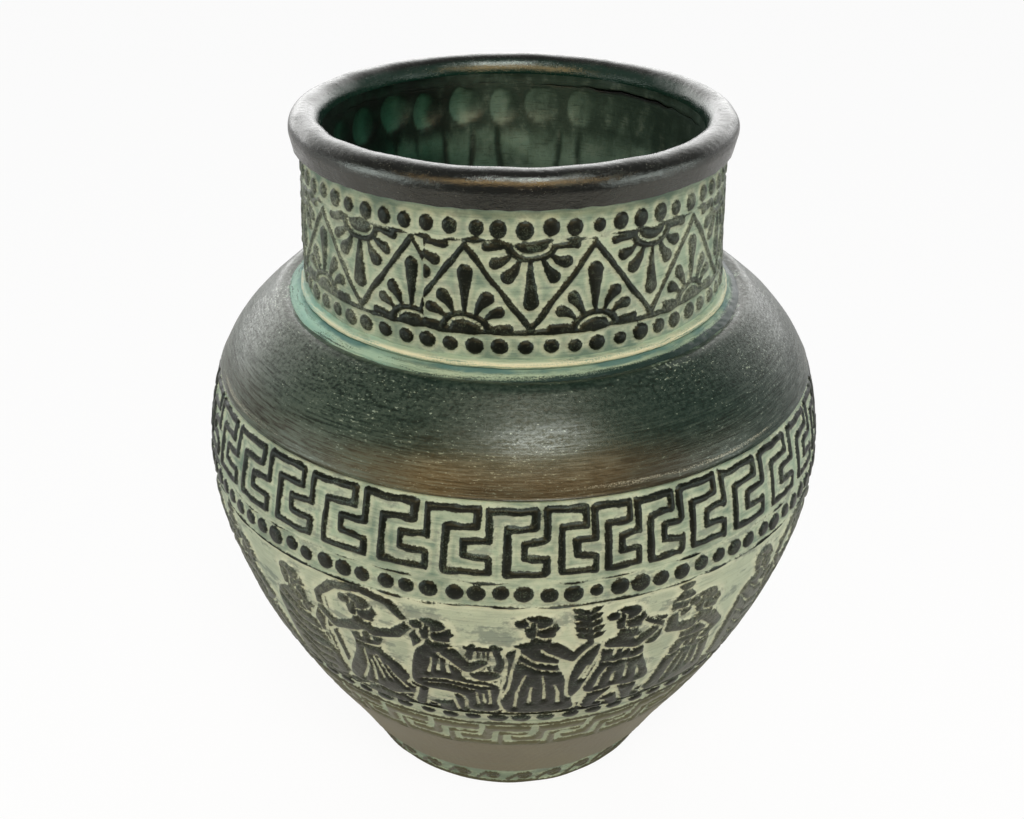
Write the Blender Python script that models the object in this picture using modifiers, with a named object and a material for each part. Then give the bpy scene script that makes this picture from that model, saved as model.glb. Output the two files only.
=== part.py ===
"""Terracotta pithos: a wide relief jar, built up from clay rings and strips that are joined with slip.

Units are metres and +Z is up. The origin is the centre of the foot's underside.
Every section is turned about +Z. A half lap in the wall seats each section of the body on the one below,
slanted edges seat the neck on the shoulder and the rim on the neck, and the floor disc drops into the foot
on a tapered edge.
"""

import math

import bpy

COLLECTION_NAME = "pithos"

# Joints and smoothness
TURN_STEPS = 48
SLIP_GAP = 0.0003
LAP_RISE = 0.0050
OUTLINE_STEP = 0.0100
SHOULDER_STEP = 0.0055

# Body wall: height and outer radius of the stations that its outline runs through
BODY_STATIONS = (
    (0.000, 0.0622),
    (0.024, 0.0745),
    (0.054, 0.0916),
    (0.090, 0.1074),
    (0.134, 0.1161),
    (0.154, 0.1138),
    (0.169, 0.1091),
    (0.182, 0.1008),
    (0.196, 0.0851),
)
WALL = 0.0078

# Heights of the lines between the body's sections
FOOT_TOP = 0.0146
LOWER_WALL_TOP = 0.0461
KEY_TOP = 0.0739
FRIEZE_TOP = 0.1321
SHOULDER_EDGE = 0.1682
NECK_SEAT = 0.1956

# Floor
FLOOR_THICKNESS = 0.0090
FOOT_WALL = 0.0086

# Neck collar: a strip bent into a ring, with slanted edges that reach further inside than outside
NECK_FOOT_RADIUS = 0.0773
NECK_TOP_RADIUS = 0.0743
NECK_BORE = 0.0663
NECK_TOP = 0.2474
NECK_SLANT_TOP = 0.2517
SHOULDER_HOLE = 0.0685

# Rolled rim, an oval section whose outer side leans in towards the neck
RIM_CENTRE_RADIUS = 0.0722
RIM_CENTRE_HEIGHT = 0.2546
RIM_HALF_WIDTH = 0.0060
RIM_CREST = 0.0054
RIM_FOOT_RADIUS = 0.0752
RIM_ARC_STEPS = 8

# Fillet round the neck's foot: a bead above a groove and a sloping strip
FILLET_TOP = 0.2030
FILLET_BEAD_HEIGHT = 0.2004
FILLET_BEAD_RADIUS = 0.0808
FILLET_GROOVE_DEPTH = 0.0009
FILLET_FOOT_RADIUS = 0.0850

# Soft coils worked over the joints from the inside
COIL_CLEARANCE = 0.0005
FLOOR_COIL_WIDTH = 0.0085
FLOOR_COIL_RISE = 0.0042
FLOOR_COIL_SAG = 0.4
BELLY_COIL_REACH = 0.0070
BELLY_COIL_THICKNESS = 0.0030
NECK_COIL_RADIUS = 0.0725
NECK_COIL_WIDTH = 0.0094
NECK_COIL_THICKNESS = 0.0032

# Finishes: base colour, roughness and metallic value
DARK_GLAZE = ((0.022, 0.030, 0.027), 0.42, 0.15)
RELIEF_GLAZE = ((0.150, 0.185, 0.120), 0.55, 0.05)
PLAIN_GLAZE = ((0.110, 0.100, 0.072), 0.45, 0.10)
TURQUOISE_WASH = ((0.330, 0.470, 0.370), 0.60, 0.00)
INSIDE_GLAZE = ((0.018, 0.048, 0.034), 0.35, 0.05)


def body_outline(height):
    """Outer radius of the body and its slope at a height, from a smooth curve through the stations."""
    heights = [station[0] for station in BODY_STATIONS]
    radii = [station[1] for station in BODY_STATIONS]
    spans = [high - low for low, high in zip(heights, heights[1:])]
    rates = [(after - before) / span for before, after, span in zip(radii, radii[1:], spans)]
    slopes = [
        (rates[i] * spans[i + 1] + rates[i + 1] * spans[i]) / (spans[i] + spans[i + 1])
        for i in range(len(spans) - 1)
    ]
    first_slope = 1.5 * rates[0] - 0.5 * slopes[0]
    last_slope = 1.5 * rates[-1] - 0.5 * slopes[-1]
    slopes = [first_slope] + slopes + [last_slope]

    span_index = 0
    while span_index < len(spans) - 1 and height > heights[span_index + 1]:
        span_index += 1
    span = spans[span_index]
    t = (height - heights[span_index]) / span
    low, high = radii[span_index], radii[span_index + 1]
    low_slope, high_slope = slopes[span_index] * span, slopes[span_index + 1] * span
    bend = 2 * (low - high) + low_slope + high_slope
    swing = 3 * (high - low) - 2 * low_slope - high_slope
    radius = low + t * (low_slope + t * (swing + t * bend))
    slope = (low_slope + t * (2 * swing + t * 3 * bend)) / span
    return radius, slope


def wall_point(height, depth=0.0, rise=0.0):
    """Point at a depth inside the body wall, square to it, and then moved up along the wall by rise."""
    radius, slope = body_outline(height)
    length = math.hypot(slope, 1.0)
    along = (slope / length, 1.0 / length)
    outward = (1.0 / length, -slope / length)
    return (
        radius - outward[0] * depth + along[0] * rise,
        height - outward[1] * depth + along[1] * rise,
    )


def spread(low, high, longest=OUTLINE_STEP):
    """Heights from high down to low, both included, at even steps no longer than the longest one."""
    count = max(1, math.ceil((high - low) / longest))
    return [high - (high - low) * i / count for i in range(count + 1)]


def lap_on_top(height, rise):
    """Top edge of a section, from outside to inside. With rise above 0 its inner half is the tongue."""
    half = WALL / 2
    return [
        wall_point(height, half),
        wall_point(height, half, rise),
        wall_point(height, WALL, rise),
    ]


def lap_underneath(height, rise):
    """Bottom edge that fits over lap_on_top with a slip gap, from outside to inside."""
    half = WALL / 2 - math.copysign(SLIP_GAP, rise)
    return [
        wall_point(height, half, SLIP_GAP),
        wall_point(height, half, rise + SLIP_GAP),
        wall_point(height, WALL, rise + SLIP_GAP),
    ]


def inner_wall(low, high):
    """Inside of the wall from bottom to top, between the laps."""
    margin = LAP_RISE + WALL / 2
    if high - low <= 2 * margin:
        return []
    return [wall_point(height, WALL) for height in reversed(spread(low + margin, high - margin))]


def outer_wall(low, high, longest=OUTLINE_STEP):
    """Outside of the wall from top to bottom. The lower end stops a slip gap above the line."""
    heights = spread(low, high, longest)
    return [wall_point(height) for height in heights[:-1]] + [wall_point(low, 0.0, SLIP_GAP)]


def ring_section(low, high, low_rise, high_rise):
    """Closed profile of a wall ring that is lapped at both ends."""
    return (
        outer_wall(low, high)
        + lap_underneath(low, low_rise)
        + inner_wall(low, high)
        + list(reversed(lap_on_top(high, high_rise)))
    )


def foot_profile():
    """Foot ring: flat underneath, tapered inside for the floor, with an outer tongue on top."""
    outside = [wall_point(height) for height in spread(0.0, FOOT_TOP)]
    floor_edge = body_outline(FLOOR_THICKNESS)[0] - FOOT_WALL
    inside = [(BODY_STATIONS[0][1] - FOOT_WALL, 0.0), (floor_edge, FLOOR_THICKNESS)]
    return outside + inside + list(reversed(lap_on_top(FOOT_TOP, -LAP_RISE)))


def floor_profile():
    """Floor disc, from its centre on top to its centre underneath."""
    top_radius = body_outline(FLOOR_THICKNESS)[0] - FOOT_WALL - SLIP_GAP
    bottom_radius = BODY_STATIONS[0][1] - FOOT_WALL - SLIP_GAP
    return [
        (0.0, FLOOR_THICKNESS),
        (top_radius, FLOOR_THICKNESS),
        (bottom_radius, 0.0),
        (0.0, 0.0),
    ]


def shoulder_profile():
    """Shoulder ring, with a hole whose slanted edge seats the neck."""
    margin = LAP_RISE + WALL / 2
    heights = spread(SHOULDER_EDGE + margin, NECK_SEAT, SHOULDER_STEP)
    inside = [wall_point(height, WALL) for height in reversed(heights)]
    flange_bottom = inside[-1][1]
    slant = (NECK_SEAT - flange_bottom) / (NECK_FOOT_RADIUS - NECK_BORE)
    hole_top = flange_bottom + slant * (SHOULDER_HOLE - NECK_BORE)
    return (
        outer_wall(SHOULDER_EDGE, NECK_SEAT, SHOULDER_STEP)
        + lap_underneath(SHOULDER_EDGE, LAP_RISE)
        + inside
        + [(SHOULDER_HOLE, flange_bottom), (SHOULDER_HOLE, hole_top), (NECK_FOOT_RADIUS, NECK_SEAT)]
    )


def neck_profile():
    """Neck collar, between the slanted edge that sits on the shoulder and the one that carries the rim."""
    flange_bottom = wall_point(NECK_SEAT, WALL)[1]
    return [
        (NECK_TOP_RADIUS, NECK_TOP),
        (NECK_FOOT_RADIUS, NECK_SEAT + SLIP_GAP),
        (NECK_BORE, flange_bottom + SLIP_GAP),
        (NECK_BORE, NECK_SLANT_TOP),
    ]


def fillet_profile():
    """Coil round the neck's foot, resting on the shoulder's seat."""
    seat = NECK_SEAT + SLIP_GAP
    neck_side = NECK_FOOT_RADIUS + SLIP_GAP
    bead_half = (FILLET_TOP - FILLET_BEAD_HEIGHT) / 2
    groove_height = FILLET_BEAD_HEIGHT - bead_half
    groove_radius = FILLET_BEAD_RADIUS - FILLET_GROOVE_DEPTH
    strip_top = (FILLET_BEAD_RADIUS + FILLET_FOOT_RADIUS) / 2
    strip_height = (groove_height + seat) / 2
    return [
        (neck_side, FILLET_TOP),
        (FILLET_BEAD_RADIUS - bead_half, FILLET_BEAD_HEIGHT + bead_half),
        (FILLET_BEAD_RADIUS, FILLET_BEAD_HEIGHT),
        (groove_radius, groove_height),
        (strip_top, strip_height),
        (FILLET_FOOT_RADIUS, seat),
        (neck_side, seat),
    ]


def rim_profile():
    """Rolled rim: half an oval over the top, a side that leans in, and a slant that sits on the neck."""
    foot = NECK_TOP + SLIP_GAP
    angles = [math.pi * (1 - i / RIM_ARC_STEPS) for i in range(1, RIM_ARC_STEPS + 1)]
    crest = [
        (
            RIM_CENTRE_RADIUS + RIM_HALF_WIDTH * math.cos(angle),
            RIM_CENTRE_HEIGHT + RIM_CREST * math.sin(angle),
        )
        for angle in angles
    ]
    return crest + [
        (RIM_FOOT_RADIUS, foot),
        (NECK_TOP_RADIUS, foot),
        (NECK_BORE, NECK_SLANT_TOP + SLIP_GAP),
        (NECK_BORE, RIM_CENTRE_HEIGHT),
    ]


def floor_coil_profile():
    """Coil in the corner between the floor and the foot, hollowed by the potter's thumb."""
    floor_top = FLOOR_THICKNESS + SLIP_GAP
    corner = body_outline(FLOOR_THICKNESS)[0] - FOOT_WALL - COIL_CLEARANCE
    taper = (corner - BODY_STATIONS[0][1] + FOOT_WALL) / FLOOR_THICKNESS
    top = (corner + taper * FLOOR_COIL_RISE, floor_top + FLOOR_COIL_RISE)
    toe = (corner - FLOOR_COIL_WIDTH, floor_top)
    hollow = (
        top[0] + (toe[0] - top[0]) * FLOOR_COIL_SAG,
        top[1] + (toe[1] - top[1]) * (1 - FLOOR_COIL_SAG),
    )
    return [top, (corner, floor_top), toe, hollow]


def belly_coil_profile():
    """Coil over the joint at the widest part of the body."""
    depth = WALL + COIL_CLEARANCE
    low, high = FRIEZE_TOP - BELLY_COIL_REACH, FRIEZE_TOP + BELLY_COIL_REACH
    quarter = BELLY_COIL_REACH / 2
    swell = depth + BELLY_COIL_THICKNESS
    return [
        wall_point(high, depth),
        wall_point(FRIEZE_TOP, depth),
        wall_point(low, depth),
        wall_point(FRIEZE_TOP - quarter, swell),
        wall_point(FRIEZE_TOP + quarter, swell),
    ]


def neck_coil_profile():
    """Coil under the joint of the neck and the shoulder."""
    top = wall_point(NECK_SEAT, WALL)[1] - COIL_CLEARANCE
    low_radius = NECK_COIL_RADIUS - NECK_COIL_WIDTH / 2
    high_radius = NECK_COIL_RADIUS + NECK_COIL_WIDTH / 2
    quarter = NECK_COIL_WIDTH / 4
    bottom = top - NECK_COIL_THICKNESS
    return [
        (high_radius, top),
        (high_radius - quarter, bottom),
        (low_radius + quarter, bottom),
        (low_radius, top),
    ]


def glaze_material(name, finish):
    """Principled material for one piece."""
    colour, roughness, metallic = finish
    material = bpy.data.materials.new(name + "_finish")
    material.use_nodes = True
    shader = material.node_tree.nodes["Principled BSDF"]
    shader.inputs["Base Color"].default_value = (*colour, 1.0)
    shader.inputs["Roughness"].default_value = roughness
    shader.inputs["Metallic"].default_value = metallic
    return material


def turned_piece(name, profile, finish, collection, jar):
    """One clay section: its profile as a wire at +X, turned about +Z by a Screw modifier."""
    touches_axis = profile[0][0] == 0.0
    points = [(radius, 0.0, height) for radius, height in profile]
    edges = [(i, i + 1) for i in range(len(points) - 1)]
    if not touches_axis:
        edges.append((len(points) - 1, 0))
    mesh = bpy.data.meshes.new(name)
    mesh.from_pydata(points, edges, [])
    piece = bpy.data.objects.new(name, mesh)
    collection.objects.link(piece)
    piece.parent = jar

    screw = piece.modifiers.new("turn", "SCREW")
    screw.axis = "Z"
    screw.angle = 2 * math.pi
    screw.steps = TURN_STEPS
    screw.render_steps = TURN_STEPS
    screw.use_smooth_shade = True
    screw.use_merge_vertices = True
    screw.merge_threshold = 0.00001
    piece.data.materials.append(glaze_material(name, finish))
    return piece


def clear_scene():
    for existing in list(bpy.data.objects):
        bpy.data.objects.remove(existing, do_unlink=True)


def build_jar():
    clear_scene()
    collection = bpy.data.collections.new(COLLECTION_NAME)
    bpy.context.scene.collection.children.link(collection)
    jar = bpy.data.objects.new("jar_axis", None)
    collection.objects.link(jar)

    # The wall flares below the belly, so the outer half carries the tongue there, and leans in above it.
    flaring, leaning = -LAP_RISE, LAP_RISE
    sections = (
        ("floor_disc", floor_profile(), INSIDE_GLAZE),
        ("foot_ring", foot_profile(), RELIEF_GLAZE),
        ("lower_wall", ring_section(FOOT_TOP, LOWER_WALL_TOP, flaring, flaring), PLAIN_GLAZE),
        ("key_band", ring_section(LOWER_WALL_TOP, KEY_TOP, flaring, flaring), RELIEF_GLAZE),
        ("frieze_band", ring_section(KEY_TOP, FRIEZE_TOP, flaring, leaning), RELIEF_GLAZE),
        ("meander_band", ring_section(FRIEZE_TOP, SHOULDER_EDGE, leaning, leaning), RELIEF_GLAZE),
        ("shoulder_ring", shoulder_profile(), DARK_GLAZE),
        ("neck_collar", neck_profile(), RELIEF_GLAZE),
        ("neck_fillet", fillet_profile(), TURQUOISE_WASH),
        ("rim_coil", rim_profile(), DARK_GLAZE),
        ("floor_coil", floor_coil_profile(), INSIDE_GLAZE),
        ("belly_coil", belly_coil_profile(), INSIDE_GLAZE),
        ("neck_coil", neck_coil_profile(), INSIDE_GLAZE),
    )
    for name, profile, finish in sections:
        turned_piece(name, profile, finish, collection, jar)


build_jar()
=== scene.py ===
"""Looks of the relief jar: every clay section with its stamped pattern, its glazes and its wear.

Meshes are in metres. Patterns are drawn in millimetres on the unrolled wall and pressed into the clay.
The jar's axis is Z and its front faces -Y. Angles start at the front and grow to the viewer's right.
"""

import math

import bpy
import numpy as np
from mathutils import Matrix, Vector


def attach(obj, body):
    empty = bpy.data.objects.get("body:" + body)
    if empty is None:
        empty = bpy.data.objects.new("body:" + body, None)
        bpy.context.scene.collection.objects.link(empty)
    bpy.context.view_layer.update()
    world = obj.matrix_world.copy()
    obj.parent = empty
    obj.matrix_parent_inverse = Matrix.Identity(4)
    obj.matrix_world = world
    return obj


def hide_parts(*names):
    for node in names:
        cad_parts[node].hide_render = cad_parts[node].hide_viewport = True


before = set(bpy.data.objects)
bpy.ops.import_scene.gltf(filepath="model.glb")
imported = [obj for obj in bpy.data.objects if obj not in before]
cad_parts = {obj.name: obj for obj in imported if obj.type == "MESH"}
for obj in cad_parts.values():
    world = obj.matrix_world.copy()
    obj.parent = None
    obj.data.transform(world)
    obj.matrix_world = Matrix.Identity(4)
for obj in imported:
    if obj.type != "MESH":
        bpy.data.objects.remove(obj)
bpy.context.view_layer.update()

MM = 0.001
FULL_TURN = 2 * math.pi

# Body wall in millimetres: height and outer radius of the stations that its outline runs through
BODY_STATIONS = np.array((
    (0.0, 62.2),
    (24.0, 74.5),
    (54.0, 91.6),
    (90.0, 107.4),
    (134.0, 116.1),
    (154.0, 113.8),
    (169.0, 109.1),
    (182.0, 100.8),
    (196.0, 85.1),
))
WALL = 7.8

# Heights of the lines between the sections, in millimetres
FOOT_TOP = 14.6
LOWER_WALL_TOP = 46.1
KEY_TOP = 73.9
FRIEZE_TOP = 132.1
SHOULDER_EDGE = 168.2
NECK_SEAT = 195.6
NECK_TOP = 248.5
FLOOR_TOP = 9.0
FOOT_WALL = 8.6

# Neck, rim and fillet, in millimetres
NECK_FOOT_RADIUS = 76.3
NECK_TOP_RADIUS = 74.0
NECK_BORE = 66.3
NECK_SLANT_TOP = 249.6
NECK_TOE = 189.8
SHOULDER_HOLE = 68.5
NECK_COIL_RADIUS = 72.5
RIM_CENTRE_RADIUS = 72.2
RIM_CENTRE_HEIGHT = 254.6
RIM_HALF_WIDTH = 6.0
RIM_OUTER_WIDTH = 5.1
RIM_CREST = 5.4
RIM_FOOT_RADIUS = 76.2
NECK_STRIP_FOOT = 196.2
BEAD_TOP = 199.0
BEAD_HEIGHT = 197.6
BEAD_RADIUS = 77.9
FILLET_FOOT_RADIUS = 82.8
FILLET_FOOT = 194.2
# Flat shelf of the shoulder beside the fillet, from the neck outwards: radius and height
SHELF = (
    (75.8, 193.9), (81.0, 194.0), (82.6, 194.5), (83.7, 194.9), (84.7, 195.05), (85.6, 194.9), (86.4, 194.6),
)
SHELF_EDGE = 194.0

# Relief in millimetres: pale ground from the mean surface, raised clay over it, rounded edge and swell
GROUND = -0.85
RELIEF = 0.95
EDGE_ROUNDING = 1.15
BULGE = 0.30
BULGE_REACH = 4.0
# Depth that stands for clay on which nothing is drawn
BLANK = 50.0

# The jar is not quite straight: sideways offset in millimetres at some heights
LEAN_LEVELS = (0.0, 60.0, 110.0, 150.0, 185.0, 215.0, 260.0)
LEAN = (-0.9, -0.3, 0.2, 0.5, 0.5, -0.6, -0.4)

# Sides of a section that a run of its points can lie on
JOINT, OUTSIDE, INSIDE = 0, 1, 2

# Meshes: strips of an unrolled ring in its bake map, angle of a sharp edge, what counts as level, and
# the distance in millimetres at which corners are one
BAKE_STRIPS = 3
SHARP_ANGLE = math.radians(62)
NEARLY_FLAT = 0.9
MERGE_DISTANCE = 0.01


# Outline of the body

def body_outline(heights):
    """Outer radius and slope of the body at heights, from a smooth curve through the stations."""
    levels, radii = BODY_STATIONS[:, 0], BODY_STATIONS[:, 1]
    spans = np.diff(levels)
    rates = np.diff(radii) / spans
    inner = (rates[:-1] * spans[1:] + rates[1:] * spans[:-1]) / (spans[:-1] + spans[1:])
    first = 1.5 * rates[0] - 0.5 * inner[0]
    last = 1.5 * rates[-1] - 0.5 * inner[-1]
    slopes = np.concatenate(([first], inner, [last]))
    heights = np.asarray(heights, float)
    index = np.clip(np.searchsorted(levels, heights) - 1, 0, len(spans) - 1)
    span = spans[index]
    t = (heights - levels[index]) / span
    low, high = radii[index], radii[index + 1]
    low_slope, high_slope = slopes[index] * span, slopes[index + 1] * span
    bend = 2 * (low - high) + low_slope + high_slope
    swing = 3 * (high - low) - 2 * low_slope - high_slope
    radius = low + t * (low_slope + t * (swing + t * bend))
    return radius, (low_slope + t * (2 * swing + t * 3 * bend)) / span


def wall_points(heights, depth=0.0):
    """Points at a depth inside the body wall, square to its outside."""
    radius, slope = body_outline(heights)
    length = np.hypot(slope, 1.0)
    return np.column_stack((radius - depth / length, np.asarray(heights) + slope * depth / length))


# Sections and rings

def run_normals(points):
    """Direction out of the clay at each point of a run. Sections go down outside and up inside."""
    if len(points) < 2:
        return np.zeros_like(points)
    along = np.gradient(points, axis=0)
    out = np.column_stack((-along[:, 1], along[:, 0]))
    return out / np.linalg.norm(out, axis=1)[:, None]


class Section:
    """Closed outline of a ring's wall, in runs of points that lie outside, inside or in a joint."""

    def __init__(self, *runs):
        runs = [(side, np.array(points, float).reshape(-1, 2)) for side, points in runs]
        self.points = np.concatenate([points for side, points in runs])
        self.side = np.concatenate([np.full(len(points), side) for side, points in runs])
        self.out = np.concatenate([run_normals(points) for side, points in runs])
        gaps = np.linalg.norm(np.roll(self.points, -1, 0) - self.points, axis=1)
        self.along = np.concatenate(([0.0], np.cumsum(gaps)[:-1]))
        self.girth = gaps.sum()


def fetched(items, name, kind=float, width=1):
    """One property of a mesh's items as an array."""
    values = np.empty(len(items) * width, kind)
    items.foreach_get(name, values)
    return values


class Ring:
    """A turned clay ring, with the row, angle and place on the wall of each of its corners."""

    def __init__(self, name, section, steps):
        self.section = section
        count = len(section.points)
        bpy.ops.object.select_all(action="DESELECT")
        bpy.ops.mesh.primitive_circle_add(vertices=count, radius=WALL * MM, calc_uvs=False)
        self.piece = bpy.context.object
        self.piece.name = name
        corners = np.column_stack((np.zeros(count), section.points)) * MM
        self.piece.data.vertices.foreach_set("co", corners.ravel())
        self.piece.data.attributes.new("row", "INT", "POINT").data.foreach_set("value", np.arange(count))
        turned = self.piece.modifiers.new("turn", "SCREW")
        turned.axis = "Z"
        turned.angle = FULL_TURN
        turned.steps = steps
        turned.render_steps = steps
        turned.use_merge_vertices = True
        turned.merge_threshold = MERGE_DISTANCE * MM
        bpy.ops.object.modifier_apply(modifier="turn")
        bpy.ops.object.mode_set(mode="EDIT")
        bpy.ops.mesh.select_all(action="SELECT")
        bpy.ops.mesh.normals_make_consistent(inside=False)
        bpy.ops.object.mode_set(mode="OBJECT")

        mesh = self.piece.data
        mesh.name = name
        places = fetched(mesh.vertices, "co", width=3).reshape(-1, 3)
        self.angle = np.arctan2(places[:, 0], -places[:, 1])
        self.row = fetched(mesh.attributes["row"].data, "value", np.int32)
        self.radius, self.height = section.points[self.row].T
        self.along = section.along[self.row]
        self.outside = section.side[self.row] == OUTSIDE
        self.inside = section.side[self.row] == INSIDE

    def store(self, name, values):
        """Keeps a number for each corner, for the glaze to read."""
        made = self.piece.data.attributes.new(name, "FLOAT", "POINT")
        made.data.foreach_set("value", np.asarray(values, np.float32))

    def press(self, depth, lift=0.0):
        """Moves each corner out of the clay by its depth and up by its lift, and lets the jar be uneven."""
        uneven = hand_unevenness(self.angle, self.height)
        out = self.section.out[self.row]
        radius = self.radius + uneven + out[:, 0] * depth
        height = self.height + out[:, 1] * depth + lift
        lean = np.interp(self.height, LEAN_LEVELS, LEAN)
        places = np.column_stack((radius * np.sin(self.angle) + lean, -radius * np.cos(self.angle), height))
        mesh = self.piece.data
        mesh.vertices.foreach_set("co", (places * MM).ravel())
        mesh.update()

    def finish(self, node, slot, outside_glaze, inside_glaze, underside=None):
        """Glazes, shades and unrolls the ring, and sets it in the frame in place of its clay section."""
        mesh = self.piece.data
        for glaze in (outside_glaze, inside_glaze, underside or inside_glaze):
            mesh.materials.append(glaze)
        corners = fetched(mesh.loops, "vertex_index", np.int32)
        starts = fetched(mesh.polygons, "loop_start", np.int32)
        sizes = fetched(mesh.polygons, "loop_total", np.int32)
        face = np.repeat(np.arange(len(starts)), sizes)
        is_outside = np.logical_and.reduceat(self.outside[corners], starts)
        is_under = fetched(mesh.polygons, "normal", width=3)[2::3] < -NEARLY_FLAT
        glazes = np.where(is_outside, 0, np.where(is_under, 2, 1))
        mesh.polygons.foreach_set("material_index", glazes.astype(np.int32))

        turn = unwrapped(self.angle[corners] / FULL_TURN + 0.5, starts, face)
        share = unwrapped(self.along[corners] / self.section.girth, starts, face)
        middle = np.add.reduceat(turn, starts) / sizes
        strip = np.floor(np.clip(middle * BAKE_STRIPS, 0, BAKE_STRIPS - 1))[face]
        places = np.column_stack((turn * BAKE_STRIPS - strip, (strip + share) / BAKE_STRIPS))
        mesh.uv_layers.new(name="OFBake").data.foreach_set("uv", places.astype(np.float32).ravel())
        mesh.attributes.remove(mesh.attributes["row"])

        bpy.ops.object.select_all(action="DESELECT")
        self.piece.select_set(True)
        bpy.context.view_layer.objects.active = self.piece
        bpy.ops.object.shade_smooth_by_angle(angle=SHARP_ANGLE)
        set_in_frame(self.piece, node)


def unwrapped(values, starts, face):
    """Shares of a loop at the corners of faces, with no jump inside a face that crosses the loop's end."""
    lowest = np.minimum.reduceat(values, starts)[face]
    highest = np.maximum.reduceat(values, starts)[face]
    crosses = highest - lowest > 0.5
    return np.where(crosses & (values < 0.5), values + 1.0, values)


def set_in_frame(piece, node):
    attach(piece, "root")
    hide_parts(node)


def spaced(high, low, spacing):
    """Even steps from high down to low, both included."""
    return np.linspace(high, low, max(2, math.ceil(abs(high - low) / spacing) + 1))


def wall_section(low, high, outer_spacing, inner_spacing):
    """Section of a plain ring of the body wall."""
    return Section(
        (OUTSIDE, wall_points(spaced(high, low, outer_spacing))),
        (INSIDE, wall_points(spaced(low, high, inner_spacing), WALL)),
    )


# Unevenness and drawing on the unrolled wall, in millimetres

# Rows of pressed dots: height, number round the jar, half width and half height of a dot
NECK_UPPER_DOTS = (241.8, 61, 2.6, 2.85)
NECK_LOWER_DOTS = (203.4, 60, 2.8, 2.6)
BELLY_DOTS = (137.1, 96, 3.0, 2.9)
LOWER_DOTS = (70.2, 74, 3.3, 2.2)
# How far dots stray along their row, up or down, and in size
DOT_SHIFT, DOT_LIFT, DOT_GROWTH = 0.28, 0.24, 0.075
# How far a thin line wanders up and down
LINE_WANDER = 0.28
# Grain of pressed clay, and the greatest depth that a glaze is told
PRESS_GRAIN = 0.05
RAISED_LIMIT = 6.0
NEIGHBOURS = (-1, 0, 1)


def waver(angle, size, turns, seed, along=0.0, tilt=0.0):
    """Smooth random play round the jar that closes on itself, of about the given size.

    It is made of waves that go round the fewest to the most turns. With tilt, they shift along the wall.
    """
    fewest, most = turns
    draw = np.random.default_rng(seed)
    total = np.zeros_like(angle)
    for count in range(fewest, most):
        phase = draw.uniform(0, FULL_TURN)
        drift = draw.normal() * tilt * along
        total += draw.normal() * np.sin(count * angle + phase + drift)
    return size * total / math.sqrt(most - fewest)


def hand_unevenness(angle, height):
    """Slight lack of roundness that all the sections share, so that they still meet."""
    out_of_round = waver(angle, 0.22, (2, 7), seed=11, along=height, tilt=0.02)
    return out_of_round + waver(angle, 0.10, (8, 26), seed=12, along=height, tilt=0.08)


def limb(x, y, points):
    """Depth inside a line through points, each with its own half width."""
    depth = np.full(np.shape(x), -BLANK)
    for (ax, ay, a_half), (bx, by, b_half) in zip(points, points[1:]):
        dx, dy = bx - ax, by - ay
        t = np.clip(((x - ax) * dx + (y - ay) * dy) / (dx * dx + dy * dy), 0, 1)
        away = np.hypot(x - ax - t * dx, y - ay - t * dy)
        depth = np.maximum(depth, a_half + t * (b_half - a_half) - away)
    return depth


def stroke(x, y, points, half):
    """Depth inside a line of one width."""
    return limb(x, y, [(px, py, half) for px, py in points])


def oval(x, y, centre_x, centre_y, half_width, half_height):
    """Depth inside an oval, near enough for a soft edge."""
    reach = np.hypot((x - centre_x) / half_width, (y - centre_y) / half_height)
    return (1 - reach) * np.minimum(half_width, half_height)


def smooth_loop(points, steps=4):
    """Closed curve through points."""
    points = np.array(points, float)
    before, after, beyond = np.roll(points, 1, 0), np.roll(points, -1, 0), np.roll(points, -2, 0)
    curve = []
    for t in np.arange(steps) / steps:
        curve.append(
            0.5 * (2 * points + (after - before) * t
                   + (2 * before - 5 * points + 4 * after - beyond) * t ** 2
                   + (3 * points - before - 3 * after + beyond) * t ** 3)
        )
    return np.stack(curve, axis=1).reshape(-1, 2)


def outline(x, y, points):
    """Depth inside a closed curve through points."""
    corners = smooth_loop(points)
    nearest = np.full(np.shape(x), BLANK)
    within = np.zeros(np.shape(x), bool)
    for (ax, ay), (bx, by) in zip(corners, np.roll(corners, -1, 0)):
        dx, dy = bx - ax, by - ay
        t = np.clip(((x - ax) * dx + (y - ay) * dy) / (dx * dx + dy * dy + 1e-12), 0, 1)
        nearest = np.minimum(nearest, np.hypot(x - ax - t * dx, y - ay - t * dy))
        if ay != by:
            crossing = ((ay > y) != (by > y)) & (x < ax + (y - ay) * dx / dy)
            within ^= crossing
    return np.where(within, nearest, -nearest)


def running_lines(x, y, width, top, bottom, paths, half):
    """Depth inside the lines of a running key, whose paths give shares of a unit's width and of its drop."""
    depth = np.full(x.shape, -BLANK)
    for neighbour in NEIGHBOURS:
        for path in paths:
            points = [((fx + neighbour) * width, top - fy * (top - bottom)) for fx, fy in path]
            depth = np.maximum(depth, stroke(x, y, points, half))
    return depth


def dot_row(angle, height, radius, level, count, half_width, half_height, seed):
    """Row of pressed dots, each a little out of place and out of size."""
    draw = np.random.default_rng(seed)
    shift = draw.normal(0, DOT_SHIFT, count)
    lift = draw.normal(0, DOT_LIFT, count)
    growth = 1 + draw.normal(0, DOT_GROWTH, count)
    place = angle / FULL_TURN * count
    home = np.floor(place).astype(int)
    depth = np.full(angle.shape, -BLANK)
    for neighbour in NEIGHBOURS:
        index = (home + neighbour) % count
        x = (place - home - neighbour - 0.5) * FULL_TURN / count * radius
        dot = oval(x, height, shift[index], level + lift[index],
                   half_width * growth[index], half_height * growth[index])
        depth = np.maximum(depth, dot)
    return depth


def broken_line(angle, height, level, half, play, seed):
    """Thin line round the jar that wavers and breaks off."""
    centre = level + waver(angle, LINE_WANDER, (2, 26), seed=seed)
    width = half + waver(angle, play, (6, 70), seed=seed + 1)
    return width - np.abs(height - centre)


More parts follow.
